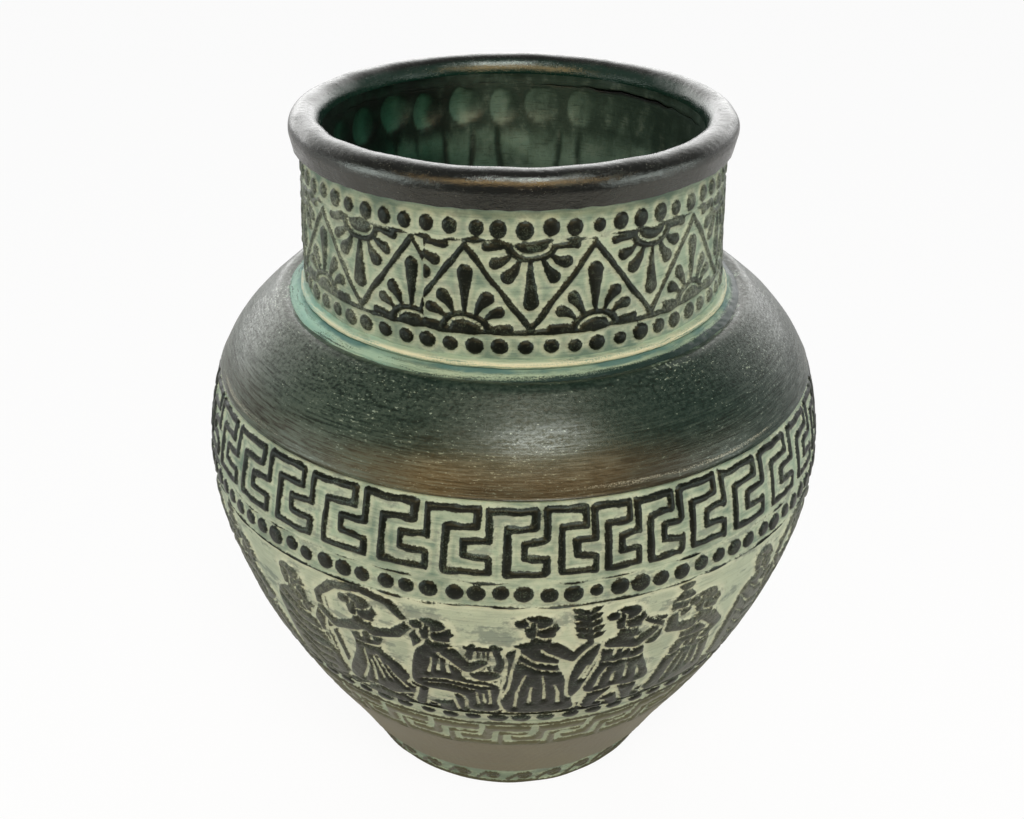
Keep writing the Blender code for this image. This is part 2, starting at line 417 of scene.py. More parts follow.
def crown(raised):
    """Height of raised clay above the ground: a rounded edge, then a slow swell."""
    t = np.clip(raised / EDGE_ROUNDING, 0, 1)
    swell = 1 - np.exp(-np.maximum(raised, 0) / BULGE_REACH)
    return RELIEF * np.sqrt(t * (2 - t)) + BULGE * swell


def stamped(ring, pattern):
    """Draws a pattern on the outside of a ring, for its glaze to read, and returns how far it stands out."""
    raised = np.full(ring.angle.shape, -BLANK)
    spot = ring.outside
    raised[spot] = pattern(ring.angle[spot], ring.height[spot], ring.radius[spot])
    ring.store("raised", np.clip(raised, -RAISED_LIMIT, RAISED_LIMIT))
    grain = waver(ring.angle, PRESS_GRAIN, (120, 170), seed=5, along=ring.height, tilt=1.2)
    return np.where(spot, GROUND + crown(raised) + grain, 0.0)


def frieze_top_line(angle, height):
    """Thin line on the joint over the frieze, which both bands share."""
    return broken_line(angle, height, FRIEZE_TOP, half=0.42, play=0.22, seed=37)


def frieze_foot_line(angle, height):
    """Thin line on the joint under the frieze, which both bands share."""
    return broken_line(angle, height, KEY_TOP, half=0.60, play=0.25, seed=57)


# Meander band

MEANDER_TOP = 165.4
MEANDER_BOTTOM = 145.0
MEANDER_UNITS = 35
MEANDER_HALF = 1.26
MEANDER_PHASE = -0.03
MEANDER_LIFT = 0.35
# Where the units crowd together, in degrees: how much, about which angle and how far to its sides
CROWD_PUSH = 7.5
CROWD_CENTRE = 17.0
CROWD_SPREAD = 15.0
# One unit of the running key: share of the unit's width, and share of the height from the top
MEANDER_PATH = (
    (0.00, 0.00), (0.80, 0.00), (0.80, 0.26), (0.30, 0.27), (0.28, 1.00), (0.99, 1.00),
    (1.00, 0.76), (0.59, 0.73), (0.59, 0.49), (1.01, 0.47), (1.00, 0.00),
)
BELLY_LINE = 141.2


def meander_pattern(angle, height, radius):
    """Running key over a row of dots. The stamp was set closer together at the front, to the right."""
    degrees = np.degrees(angle)
    lean = np.tanh((degrees - CROWD_CENTRE) / CROWD_SPREAD)
    pace = (360 + 2 * CROWD_PUSH) / MEANDER_UNITS
    count = (degrees + CROWD_PUSH * lean) / pace + MEANDER_PHASE
    width = np.radians(pace / (1 + CROWD_PUSH / CROWD_SPREAD * (1 - lean ** 2))) * radius
    home = np.floor(count)
    draw = np.random.default_rng(31)
    unit = home.astype(int) % MEANDER_UNITS
    x = (count - home) * width + waver(angle, 0.22, (20, 110), seed=32, along=height, tilt=0.25)
    lift = draw.normal(0, MEANDER_LIFT, MEANDER_UNITS)
    y = height + waver(angle, 0.26, (8, 90), seed=33, along=height, tilt=0.12) + lift[unit]
    half = MEANDER_HALF + waver(angle, 0.10, (15, 120), seed=34, along=height, tilt=0.3)
    key = running_lines(x, y, width, MEANDER_TOP, MEANDER_BOTTOM, (MEANDER_PATH,), half)
    dots = dot_row(angle, height, radius, *BELLY_DOTS, seed=35)
    upper_line = broken_line(angle, height, BELLY_LINE, half=0.16, play=0.32, seed=36)
    return np.maximum.reduce((key, dots, upper_line, frieze_top_line(angle, height)))


# Neck strip

NECK_UNIT = 31.5
NECK_FIRST_POINT = 4.5
NECK_SEAM = -21.5
NECK_TOP_LINE = 237.8
NECK_BOTTOM_LINE = 208.3
NECK_LINE_DROP = 0.2
ZIGZAG_HALF = 1.05
ZIGZAG_FOOT_GAP = 1.2
ZIGZAG_HEAD_GAP = 1.4
HUB_TOP_GAP = 0.6
HUB_BOTTOM_GAP = 0.4
FLOWER_TOP_GAP = 0.4
FLOWER_FOOT_LAP = 0.6
# Petals of the palmette: angle from its middle, start and end from the hub, half widths there
PETALS = (
    (0, 6.2, 19.0, 0.8, 2.6),
    (34, 6.8, 12.8, 0.8, 2.35),
    (60, 7.8, 12.6, 0.8, 2.05),
    (86, 9.0, 14.0, 1.2, 1.6),
)
HUB_HALF_WIDTH, HUB_DROP = 7.2, 5.0
LENS_HALF_WIDTH, LENS_DROP = 5.1, 3.0
LENS_RISE = 0.2
ARC_HALF = 0.95
PETAL_BOW = 0.8


def palmette(x, y):
    """Palmette that grows towards +y from a hub on the line y = 0."""
    side = np.abs(x)
    reach = np.hypot(side / HUB_HALF_WIDTH, y / HUB_DROP)
    arc = ARC_HALF - np.abs(1 - reach) * HUB_DROP
    lens = oval(side, y, 0, LENS_RISE, LENS_HALF_WIDTH, LENS_DROP)
    depth = np.maximum(arc, lens)
    for degrees, start, end, foot_half, tip_half in PETALS:
        sin, cos = math.sin(math.radians(degrees)), math.cos(math.radians(degrees))
        bow = PETAL_BOW * sin * cos
        middle = (start + end) / 2
        depth = np.maximum(depth, limb(side, y, [
            (start * sin, start * cos, foot_half),
            (middle * sin - bow * cos, middle * cos + bow * sin, (foot_half + tip_half) / 2),
            (end * sin, end * cos, tip_half),
        ]))
    return depth


def neck_pattern(angle, height, radius):
    """Zigzag with palmettes between two rows of dots. The strip's end laps over its start at the seam."""
    degrees = (np.degrees(angle) - NECK_SEAM) % 360 + NECK_SEAM
    y = height + waver(angle, 0.20, (6, 60), seed=41, along=height, tilt=0.15)
    play = waver(angle, 0.22, (10, 70), seed=42, along=height, tilt=0.2)
    half_unit = NECK_UNIT / 2
    down_x = np.radians((degrees - NECK_FIRST_POINT + half_unit) % NECK_UNIT - half_unit) * radius + play
    up_x = np.radians((degrees - NECK_FIRST_POINT) % NECK_UNIT - half_unit) * radius + play
    half_width = np.radians(half_unit) * radius
    half = ZIGZAG_HALF + waver(angle, 0.12, (10, 90), seed=43)
    slant = [(0.0, NECK_BOTTOM_LINE + ZIGZAG_FOOT_GAP), (half_width, NECK_TOP_LINE - ZIGZAG_HEAD_GAP)]
    zigzag = stroke(np.abs(down_x), y, slant, half)
    hanging = palmette(down_x, NECK_TOP_LINE - HUB_TOP_GAP - y)
    standing = palmette(up_x, y - NECK_BOTTOM_LINE - HUB_BOTTOM_GAP)
    between = np.minimum(NECK_TOP_LINE - FLOWER_TOP_GAP - y, y - NECK_BOTTOM_LINE + FLOWER_FOOT_LAP)
    flowers = np.minimum(np.maximum.reduce((zigzag, hanging, standing)), between)
    top_line = broken_line(angle, height, NECK_TOP_LINE, half=0.45, play=0.42, seed=44)
    line_level = NECK_BOTTOM_LINE - NECK_LINE_DROP
    bottom_line = broken_line(angle, height, line_level, half=0.95, play=0.30, seed=46)
    upper = dot_row(angle, height, radius, *NECK_UPPER_DOTS, seed=48)
    lower = dot_row(angle, height, radius, *NECK_LOWER_DOTS, seed=49)
    return np.maximum.reduce((flowers, top_line, bottom_line, upper, lower))


# Lower key band and foot

KEY_LINE = 65.2
KEY_FIELD_TOP = 63.6
KEY_FIELD_BOTTOM = 47.4
KEY_UNITS = 31
KEY_PHASE = 0.3
KEY_FOOT_EDGE = 0.9
# Sunk lines of one unit: share of the unit's width, and share of the height from the top
KEY_CHANNELS = (
    ((0.80, 0.00), (0.78, 0.36), (0.04, 0.38), (0.00, 1.00)),
    ((1.00, 0.90), (0.27, 0.92), (0.25, 0.58), (0.72, 0.58), (0.77, 0.38)),
)
KEY_CHANNEL_HALF = 1.1
KEY_TOP_CHANNEL_HALF = 0.75


def key_pattern(angle, height, radius):
    """Ovals between two lines, over a key whose lines are sunk into the wall."""
    width = FULL_TURN / KEY_UNITS * radius
    count = angle / FULL_TURN * KEY_UNITS + KEY_PHASE
    home = np.floor(count)
    x = (count - home) * width + waver(angle, 0.25, (12, 80), seed=51, along=height, tilt=0.2)
    y = height + waver(angle, 0.25, (6, 60), seed=52, along=height, tilt=0.12)
    half = KEY_CHANNEL_HALF + waver(angle, 0.15, (8, 60), seed=53, along=height, tilt=0.2)
    top_channel = KEY_TOP_CHANNEL_HALF - np.abs(y - KEY_FIELD_TOP)
    channels = running_lines(x, y, width, KEY_FIELD_TOP, KEY_FIELD_BOTTOM, KEY_CHANNELS, half)
    sunk = np.maximum(top_channel, channels)
    dots = dot_row(angle, height, radius, *LOWER_DOTS, seed=54)
    line = broken_line(angle, height, KEY_LINE, half=0.55, play=0.25, seed=55)
    ovals = np.maximum.reduce((dots, line, frieze_foot_line(angle, height)))
    foot_edge = LOWER_WALL_TOP + KEY_FOOT_EDGE - height
    return np.where(height > KEY_LINE, ovals, np.maximum.reduce((-sunk, line, foot_edge)))


WAVE_COUNT = 33
WAVE_LEVEL = 6.4
WAVE_RADIUS = 3.5
WAVE_HALF = 0.85
# Curl of a wave: its points, where it starts and how far it goes on in degrees, and how fast it closes
CURL_POINTS = 15
CURL_START = 170
CURL_STEP = 36
CURL_CLOSING = 0.052
FOOT_LINE_DROP = 1.6
FOOT_EDGE = 1.3


def wave_path(width):
    """One wave: up from the trough, over the crest and round into its curl."""
    points = [(-0.5 * width, WAVE_LEVEL - WAVE_RADIUS), (-0.42 * width, WAVE_LEVEL - 0.6 * WAVE_RADIUS)]
    for i in range(CURL_POINTS):
        turn = math.radians(CURL_START - CURL_STEP * i)
        reach = WAVE_RADIUS * (1 - CURL_CLOSING * i)
        points.append((reach * math.cos(turn), WAVE_LEVEL + reach * math.sin(turn)))
    return points


def foot_pattern(angle, height, radius):
    """Running waves round the foot, between a line above and the worn edge below."""
    width = FULL_TURN / WAVE_COUNT * radius
    count = angle / FULL_TURN * WAVE_COUNT
    play = waver(angle, 0.25, (10, 60), seed=61, along=height, tilt=0.3)
    x = (count - np.floor(count) - 0.5) * width + play
    y = height + waver(angle, 0.25, (6, 50), seed=62)
    waves = np.full(angle.shape, -BLANK)
    for neighbour in NEIGHBOURS:
        path = [(px + neighbour * width, py) for px, py in wave_path(width)]
        waves = np.maximum(waves, stroke(x, y, path, WAVE_HALF))
    line = height - FOOT_TOP + FOOT_LINE_DROP + waver(angle, 0.3, (4, 50), seed=63)
    edge = FOOT_EDGE - height + waver(angle, 0.35, (4, 50), seed=64)
    return np.maximum.reduce((waves, line, edge))


# Figures of the frieze

LIMB_BULK = 1.36
FOLD_HALF = 0.42
FOLD_START = 0.55


class Figure:
    """One raised figure on a patch of the wall, in millimetres: x the way it faces, y up from its ground."""

    def __init__(self, x, y):
        self.x, self.y = x, y
        self.depth = np.full(x.shape, -BLANK)

    def lay(self, part, gap=0.0):
        """Adds a part, with a gap cut round it where it lies on what is there."""
        if gap:
            self.depth = np.minimum(self.depth, -(part + gap))
        self.depth = np.maximum(self.depth, part)

    def cloth(self, points, gap=0.0):
        self.lay(outline(self.x, self.y, points), gap)

    def limb(self, points, gap=0.0):
        self.lay(limb(self.x, self.y, [(x, y, half * LIMB_BULK) for x, y, half in points]), gap)

    def ball(self, centre_x, centre_y, half_width, half_height, gap=0.0):
        self.lay(oval(self.x, self.y, centre_x, centre_y, half_width, half_height), gap)

    def fold(self, *points, half=FOLD_HALF):
        """Line cut into the clay, finer at its start."""
        widths = np.linspace(FOLD_START, 1.0, len(points)) * half
        groove = limb(self.x, self.y, [(px, py, width) for (px, py), width in zip(points, widths)])
        self.depth = np.minimum(self.depth, -groove)

    def pleats(self, top, bottom, count, sway=0.0, half=FOLD_HALF):
        """Folds that fan out from a line above to a line below, each line given by its two ends."""
        (top_left, top_right), (low_left, low_right) = np.array(top, float), np.array(bottom, float)
        for i in range(count):
            t = (i + 0.5) / count
            start = top_left + (top_right - top_left) * t
            end = low_left + (low_right - low_left) * t
            middle = (start + end) / 2 + np.array((sway * (t - 0.5), 0.0))
            # Each fold starts and ends at its own height
            start = start + (middle - start) * (0.35 + 0.35 * math.sin(3.7 * i + count))
            end = end + (middle - end) * (0.30 + 0.30 * math.sin(5.0 * i + count))
            self.fold(tuple(start), tuple(middle), tuple(end), half=half)

    def head(self, x, y, beard=False):
        """Plain head in profile, with the hair bound up behind."""
        self.limb([(x - 0.4, y - 2.4, 1.5), (x - 0.7, y - 6.4, 2.0)])
        self.ball(x + 0.4, y - 0.2, 2.8, 3.9, gap=0.5)
        self.limb([(x + 2.4, y + 0.3, 0.55), (x + 3.4, y - 0.8, 0.35)])
        self.limb([(x + 1.3, y - 2.8, 0.9), (x + 2.1, y - 3.3, 0.55)])
        self.ball(x - 1.5, y + 2.5, 3.5, 2.7, gap=0.35)
        self.limb([(x - 3.2, y + 1.0, 1.1), (x - 2.9, y - 2.8, 0.8)], gap=0.3)
        if beard:
            self.limb([(x + 1.8, y - 3.4, 1.2), (x + 2.6, y - 6.6, 0.6)], gap=0.35)
        else:
            self.ball(x - 5.0, y + 2.0, 1.7, 1.8, gap=0.35)


def branch_bearer(f):
    f.cloth([(-5.4, 38.6), (-1.5, 41), (2.6, 40.6), (5.4, 37.6), (5.6, 33.5), (4.8, 28.6), (6.4, 22),
             (7.8, 14), (9.2, 5), (9.4, 0.8), (1, 0.2), (-8.8, 0.8), (-8.2, 9), (-7.2, 18), (-6.0, 25),
             (-5.4, 29.5), (-5.8, 34)])
    f.pleats([(-3.6, 25), (4.4, 23)], [(-6.6, 3), (7.6, 3)], 4, 2.0)
    f.fold((-5.0, 36.4), (-1.4, 31.2), (5.4, 29.0), half=0.5)
    f.fold((-4.6, 31.6), (-0.4, 27.0), (5.6, 25.4), half=0.4)
    f.fold((-0.6, 39.4), (1.0, 35.4), (4.0, 33.2), half=0.4)
    f.cloth([(-5.0, 37), (-8.8, 33), (-10.8, 26), (-10.8, 17), (-9.4, 9), (-7.2, 15), (-6.4, 26)], gap=0.8)
    f.pleats([(-8.4, 32), (-6.6, 32)], [(-9.8, 13), (-8.2, 13)], 2, 0.5, 0.38)
    f.limb([(3.4, 37.4, 1.8), (8.2, 32.2, 1.4), (11.4, 37.4, 1.05)], gap=0.8)
    f.limb([(12.8, 23, 0.5), (12.0, 38, 0.65), (10.6, 52, 0.4)])
    for i in range(5):
        level = 40.0 + 2.6 * i
        stem = 12.0 - 1.4 * (level - 38) / 14
        for side in (-1, 1):
            f.limb([(stem, level, 0.35), (stem + 2.0 * side, level + 1.6, 0.85),
                    (stem + 3.4 * side, level + 2.6, 0.2)])
    f.head(0.8, 46.2)


def pipe_player(f):
    f.cloth([(-4.6, 37.6), (-8.8, 35.5), (-11.8, 28), (-12.4, 17), (-11.0, 9), (-8.4, 14), (-6.4, 22),
             (-4.8, 29)])
    f.pleats([(-7.6, 34), (-5.8, 33)], [(-11.4, 13), (-8.8, 16)], 2, 0.0, 0.4)
    f.limb([(-2.6, 13, 2.1), (-4.4, 7, 1.6), (-5.6, 1.4, 1.1)])
    f.limb([(-5.6, 1.0, 1.0), (-2.4, 0.7, 0.8)])
    f.limb([(3.0, 13, 2.1), (4.4, 7.4, 1.6), (4.6, 1.4, 1.1)])
    f.limb([(4.6, 1.0, 1.0), (8.0, 0.7, 0.8)])
    f.cloth([(-4.4, 38.6), (-1, 40.8), (2.6, 40.2), (5.2, 37.4), (5.2, 32), (5.6, 27), (7.4, 20), (9.0, 12.2),
             (4.4, 10.6), (0, 11.8), (-4.2, 10.4), (-7.8, 11.8), (-6.8, 21), (-5.8, 28), (-5.8, 34)], gap=0.7)
    f.pleats([(-4.6, 24.6), (5.0, 24.6)], [(-6.6, 12.4), (7.6, 12.4)], 4, 1.5)
    f.pleats([(-3.0, 37.0), (2.4, 37.0)], [(-4.0, 28.6), (3.4, 28.6)], 3, 1.0)
    f.fold((-5.0, 27.4), (-2.4, 26.2), (0, 27.0), (2.6, 26.0), (5.2, 27.2), half=0.5)
    f.limb([(3.6, 37, 1.7), (6.8, 33.4, 1.35), (9.6, 38.2, 1.05)], gap=0.8)
    f.limb([(-3.4, 36.6, 1.7), (2.6, 33.8, 1.35), (8.2, 40.0, 1.0)], gap=0.8)
    f.limb([(4.2, 44.4, 0.5), (14.0, 39.8, 0.85)], gap=0.5)
    f.limb([(4.2, 43.8, 0.5), (13.0, 36.0, 0.85)], gap=0.5)
    f.head(0.6, 45.8)


def jar_bearer(f):
    f.cloth([(-5.0, 35.4), (-1, 37.4), (2.8, 37), (5.2, 34.2), (5.6, 30), (5.0, 26.4), (7.0, 20), (8.4, 12),
             (9.2, 4), (9.4, 0.8), (0, 0.2), (-8.6, 0.8), (-8.4, 8), (-7.8, 16), (-6.6, 22), (-5.2, 26.6),
             (-5.6, 31)])
    f.pleats([(-2.6, 24.4), (3.6, 24.4)], [(-6.2, 3), (7.4, 3)], 4, 1.0)
    f.cloth([(-5.2, 27.4), (0.4, 26.6), (5.2, 27.2), (6.8, 21.6), (2.2, 19.0), (-1.6, 22.0), (-6.4, 20.4)],
            gap=0.6)
    f.pleats([(-3.4, 26), (3.6, 26)], [(-4.6, 21.6), (4.6, 21)], 3, 0.5)
    f.fold((-3.6, 35.6), (-0.4, 31.6), (3.2, 35.2), half=0.4)
    f.cloth([(-9.4, 53), (-4.4, 53), (-5.4, 50.4), (-3.2, 47), (-3.6, 42.6), (-6.9, 39.6), (-10.2, 42.6),
             (-10.6, 47), (-8.4, 50.4)])
    f.fold((-10.4, 47), (-6.9, 46.2), (-3.4, 47), half=0.4)
    f.fold((-10.0, 43.6), (-6.9, 42.8), (-3.8, 43.6), half=0.4)
    f.fold((-8.4, 50.6), (-6.9, 50.3), (-5.4, 50.6), half=0.36)
    f.limb([(-3.6, 34.2, 1.8), (-9.0, 35.6, 1.45), (-9.4, 40.6, 1.05)], gap=0.7)
    f.limb([(3.4, 33.6, 1.7), (7.2, 27.8, 1.35), (4.2, 23.2, 1.05)], gap=0.8)
    f.head(1.4, 42.4)


def elder(f):
    f.limb([(-3.0, 1.6, 1.1), (1.2, 0.8, 0.85)])
    f.limb([(3.4, 1.6, 1.1), (7.4, 0.8, 0.85)])
    f.cloth([(-6.6, 37.0), (-2, 40.4), (2.8, 39.8), (6.4, 36.2), (7.8, 30), (8.4, 22), (8.8, 12), (8.2, 3.0),
             (2, 2.0), (-6.4, 2.6), (-7.6, 10), (-8.0, 20), (-8.0, 29)])
    f.fold((-6.6, 34.6), (-1.2, 27.0), (7.6, 24.4), half=0.55)
    f.fold((-4.0, 37.6), (0.6, 32.6), (5.8, 31.0))
    for i in range(4):
        drop = 5.6 * i
        f.fold((-5.4 + 0.9 * i, 26.0 - drop), (0.4, 20.4 - 1.02 * drop), (6.8 - 0.8 * i, 19.6 - 0.9 * drop))
    f.limb([(12.2, 0.4, 0.6), (11.2, 26, 0.65), (10.4, 48, 0.5)])
    f.limb([(9.2, 47.6, 0.7), (11.8, 48.6, 0.7)])
    f.limb([(4.4, 36, 1.9), (8.8, 32.0, 1.5), (11.0, 36.4, 1.15)], gap=0.8)
    f.cloth([(5.4, 35), (8.4, 31), (9.4, 24), (8.8, 17), (7.4, 22), (6.2, 29)], gap=0.7)
    f.fold((7.2, 31), (8.2, 25), (8.4, 19.5), half=0.36)
    f.head(0.8, 45.4, beard=True)


def dancer(f):
    f.limb([(-13.4, 27, 0.4), (-13.6, 33, 1.1), (-12.2, 38.6, 0.7), (-12.4, 45, 0.9), (-7.8, 50.8, 1.15),
            (0, 53.0, 1.0), (7.6, 50.6, 1.15), (12.0, 44.0, 0.8), (13.8, 36, 1.1), (12.6, 28, 0.4)])
    f.limb([(-4.0, 5, 1.6), (-7.8, 1.2, 1.0), (-10.0, 1.2, 0.6)])
    f.limb([(7.0, 6, 1.6), (9.8, 1.2, 1.0), (13.0, 0.8, 0.65)])
    f.cloth([(-4.2, 38), (0, 40.2), (4.2, 38.4), (4.6, 33.6), (3.6, 29.0), (7.6, 22), (11.2, 12), (12.6, 4.2),
             (8.2, 5.6), (3.2, 3.0), (-1.6, 5.0), (-7.0, 2.8), (-9.4, 6.0), (-6.8, 16), (-4.6, 24),
             (-3.8, 29.2), (-4.6, 34)], gap=0.7)
    f.pleats([(-2.0, 26.8), (3.0, 26.8)], [(-7.0, 5.4), (10.4, 6.4)], 5, -3.0)
    f.pleats([(-2.4, 37.0), (2.6, 37.0)], [(-2.4, 30.6), (2.4, 30.6)], 2, 0.5)
    f.fold((-2.8, 29.6), (0, 29.0), (2.8, 29.6), half=0.5)
    f.limb([(2.6, 36.8, 1.6), (8.4, 38.4, 1.3), (12.0, 43.6, 0.95)], gap=0.6)
    f.limb([(-2.6, 36.8, 1.6), (-8.4, 33.8, 1.3), (-12.0, 38.6, 0.95)], gap=0.6)
    f.head(0.4, 45.2)


def lyre_player(f):
    f.limb([(-7.4, 12, 0.9), (-9.0, 0.8, 0.9)])
    f.limb([(1.2, 12, 0.9), (2.4, 0.8, 0.9)])
    f.limb([(-9.2, 13, 1.2), (3.2, 13, 1.2)])
    f.limb([(5.4, 2.2, 1.2), (10.4, 0.9, 0.85)])
    f.cloth([(-7.4, 34), (-3.4, 37.8), (0.8, 37.2), (3.2, 33), (2.8, 26), (3.4, 21.2), (9.2, 19.6),
             (11.2, 15.6), (10.4, 8), (10.4, 1.6), (3.6, 1.2), (3.2, 8), (1.4, 11.6), (-7.2, 12.6),
             (-10.2, 16), (-9.0, 27)], gap=0.7)
    f.pleats([(5.0, 16.4), (9.4, 15.6)], [(5.0, 3.2), (9.0, 3.2)], 3, 0.5, 0.4)
    f.pleats([(-5.4, 33.0), (0.6, 33.0)], [(-7.2, 20.0), (0.8, 21.0)], 3, -1.0)
    f.fold((-7.4, 17.6), (-2, 19.4), (3.4, 18.4), (8.6, 17.6), half=0.5)
    f.fold((-6.6, 15.8), (-1, 16.8), (5.0, 15.2), half=0.36)
    f.limb([(5.6, 24.4, 0.9), (4.4, 31, 0.75), (5.6, 38.4, 0.6)], gap=0.5)
    f.limb([(10.6, 24.4, 0.9), (12.0, 31, 0.75), (10.6, 38.4, 0.6)])
    f.limb([(4.2, 37.2, 0.65), (12.0, 37.2, 0.65)])
    for i in range(3):
        f.limb([(6.9 + 1.15 * i, 25, 0.3), (6.9 + 1.15 * i, 37, 0.3)])
    f.ball(8.1, 23.6, 3.5, 2.7, gap=0.5)
    f.limb([(0.2, 33.4, 1.8), (4.2, 27.2, 1.45), (7.6, 30.6, 1.05)], gap=0.7)
    f.head(-2.4, 42.6)


FIGURES = (branch_bearer, pipe_player, jar_bearer, elder, dancer, lyre_player)
FIGURE_ROUNDS = 4
FIGURE_PHASE = 0.30
FIGURE_BASE = 1.2
FIGURE_WIDTH = 1.42
FIGURE_HEIGHT = 1.05
FIGURE_REACH = 23.5
GROUND_STRIP = 6.2
STRIP_GAP = 0.8


def frieze_pattern(angle, height, radius):
    """Procession round the belly, in front of a dark strip of ground."""
    count = len(FIGURES) * FIGURE_ROUNDS
    slant = np.hypot(1.0, body_outline(height)[1])
    y = (height - KEY_TOP) * slant + waver(angle, 0.18, (8, 60), seed=71, along=height, tilt=0.2)
    play = waver(angle, 0.18, (20, 90), seed=73, along=height, tilt=0.2)
    raised = GROUND_STRIP + waver(angle, 1.1, (8, 60), seed=72) - y
    for index in range(count):
        centre = (index + FIGURE_PHASE) * FULL_TURN / count
        turn = (angle - centre + math.pi) % FULL_TURN - math.pi
        x = turn * radius + play
        near = np.abs(x) < FIGURE_REACH
        figure = Figure(x[near] / FIGURE_WIDTH, (y[near] - FIGURE_BASE) / FIGURE_HEIGHT)
        FIGURES[index % len(FIGURES)](figure)
        behind = np.minimum(raised[near], -(figure.depth + STRIP_GAP))
        raised[near] = np.maximum(behind, figure.depth * FIGURE_HEIGHT)
    return np.maximum.reduce((raised, frieze_top_line(angle, height), frieze_foot_line(angle, height)))


# Glazes

class Wire:
    """One value in a glaze's node tree. Sums and products of values add Math nodes."""

    def __init__(self, glaze, socket):
        self.glaze, self.socket = glaze, socket

    def math(self, operation, first, second):
        return self.glaze.node("ShaderNodeMath", {"operation": operation}, {0: first, 1: second})

    def __add__(self, other):
        return self.math("ADD", self, other)

    def __radd__(self, other):
        return self.math("ADD", other, self)

    def __sub__(self, other):
        return self.math("SUBTRACT", self, other)

    def __rsub__(self, other):
        return self.math("SUBTRACT", other, self)

    def __mul__(self, other):
        return self.math("MULTIPLY", self, other)

    def __rmul__(self, other):
        return self.math("MULTIPLY", other, self)


class Nodes:
    """A node tree under work."""

    def __init__(self, tree):
        self.tree = tree

    def node(self, kind, settings=None, sockets=None, output=0):
        made = self.tree.nodes.new(kind)
        for name, value in (settings or {}).items():
            setattr(made, name, value)
        for key, value in (sockets or {}).items():
            self.feed(made.inputs[key], value)
        return Wire(self, made.outputs[output])

    def feed(self, socket, value):
        if isinstance(value, Wire):
            self.tree.links.new(value.socket, socket)
        else:
            socket.default_value = value

    def ease(self, value, low, high):
        """0 below low, 1 above high and smooth between. It falls instead where high is the lower one."""
        return self.node("ShaderNodeMapRange", {"interpolation_type": "SMOOTHSTEP"},
                         {"Value": value, "From Min": low, "From Max": high})


SHADER_SOCKETS = {
    "colour": "Base Color",
    "roughness": "Roughness",
    "normal": "Normal",
    "specular": "Specular IOR Level",
    "specular_tint": "Specular Tint",
    "coat": "Coat Weight",
    "coat_roughness": "Coat Roughness",
}


class Glaze(Nodes):
    """A material under work: its nodes, and the shader that its finish goes into."""

    def __init__(self, name):
        self.material = bpy.data.materials.new(name)
        self.material.use_nodes = True
        super().__init__(self.material.node_tree)
        self.shader = self.tree.nodes["Principled BSDF"]
        self.place = self.node("ShaderNodeTexCoord", output="Object")

    def noise(self, scale, detail=3.0, stretch=(1, 1, 1), rough=0.55):
        """Noise from 0 to 1 with grains of about 1 / scale metres, longer along an axis of low stretch."""
        place = self.node("ShaderNodeMapping", None, {"Vector": self.place, "Scale": stretch})
        return self.node("ShaderNodeTexNoise", None,
                         {"Vector": place, "Scale": scale, "Detail": detail, "Roughness": rough})

    def kept(self, name):
        """Number that a ring keeps for each of its corners."""
        return self.node("ShaderNodeAttribute", {"attribute_name": name}, output="Fac")

    def level(self):
        """Height on the jar in millimetres."""
        return self.node("ShaderNodeSeparateXYZ", None, {0: self.place}, output=2) * (1 / MM)

    def across(self):
        """Place to the viewer's right of the jar's axis in millimetres."""
        return self.node("ShaderNodeSeparateXYZ", None, {0: self.place}) * (1 / MM)

    def reach(self):
        """Distance from the jar's axis in millimetres."""
        flat = self.node("ShaderNodeVectorMath", {"operation": "MULTIPLY"}, {0: self.place, 1: (1, 1, 0)})
        return self.node("ShaderNodeVectorMath", {"operation": "LENGTH"}, {0: flat}, output=1) * (1 / MM)

    def blend(self, first, second, share):
        """Colour between two colours."""
        return self.node("ShaderNodeMix", {"data_type": "RGBA"}, {0: share, 6: first, 7: second}, output=2)

    def bump(self, height, distance, strength):
        """Normal of a surface that is rough by a distance in millimetres."""
        sockets = {"Height": height, "Distance": distance * MM, "Strength": strength}
        return self.node("ShaderNodeBump", None, sockets)

    def done(self, **finish):
        """Sets the shader's sockets, by their names in SHADER_SOCKETS, and returns the material."""
        for name, value in finish.items():
            self.feed(self.shader.inputs[SHADER_SOCKETS[name]], value)
        return self.material


def paint(red, green, blue):
    """Colour as a screen shows it, from 0 to 255, in the linear values that a shader takes."""
    shares = [value / 255 for value in (red, green, blue)]
    linear = [s / 12.92 if s <= 0.04045 else ((s + 0.055) / 1.055) ** 2.4 for s in shares]
    return (*linear, 1.0)


# Wash and relief
THIN_SAGE = paint(93, 113, 102)
SAGE = paint(140, 158, 140)
CREAM = paint(177, 184, 164)
BLUE_GREY = paint(78, 90, 90)
FADED_SAGE = paint(138, 154, 136)
BLACK = paint(6, 8, 4)
BROWN_BLACK = paint(21, 20, 16)
GREY_BROWN = paint(86, 86, 68)
WORN_SPECKLE = paint(88, 97, 80)

# Shoulder
GREEN_BLACK = paint(13, 35, 31)
# Bronze-black low on the shoulder, which also stands in for a warm reflection there
BRONZE_BLACK = paint(32, 27, 17)
# Painted warm reflection on the shoulder, left of the front
BRONZE_REFLECTION_PAINT = paint(76, 64, 40)
BRUSH_GREY = paint(64, 77, 68)
BRUSH_SHADE = paint(5, 9, 8)
PALE_SPECK = paint(140, 154, 138)
DRY_GREEN = paint(116, 140, 120)
RUBBED_EDGE = paint(170, 170, 154)

# Rim
RIM_BLACK = paint(3, 5, 3)
RIM_BROWN = paint(7, 7, 5)
RIM_SMEAR = paint(38, 46, 40)
RIM_SHADE = paint(6, 7, 6)
RIM_GREEN = paint(13, 40, 33)
# Pale specks in the rim's pits: dust, and painted glints
PIT_DUST_AND_GLINT = paint(160, 160, 150)

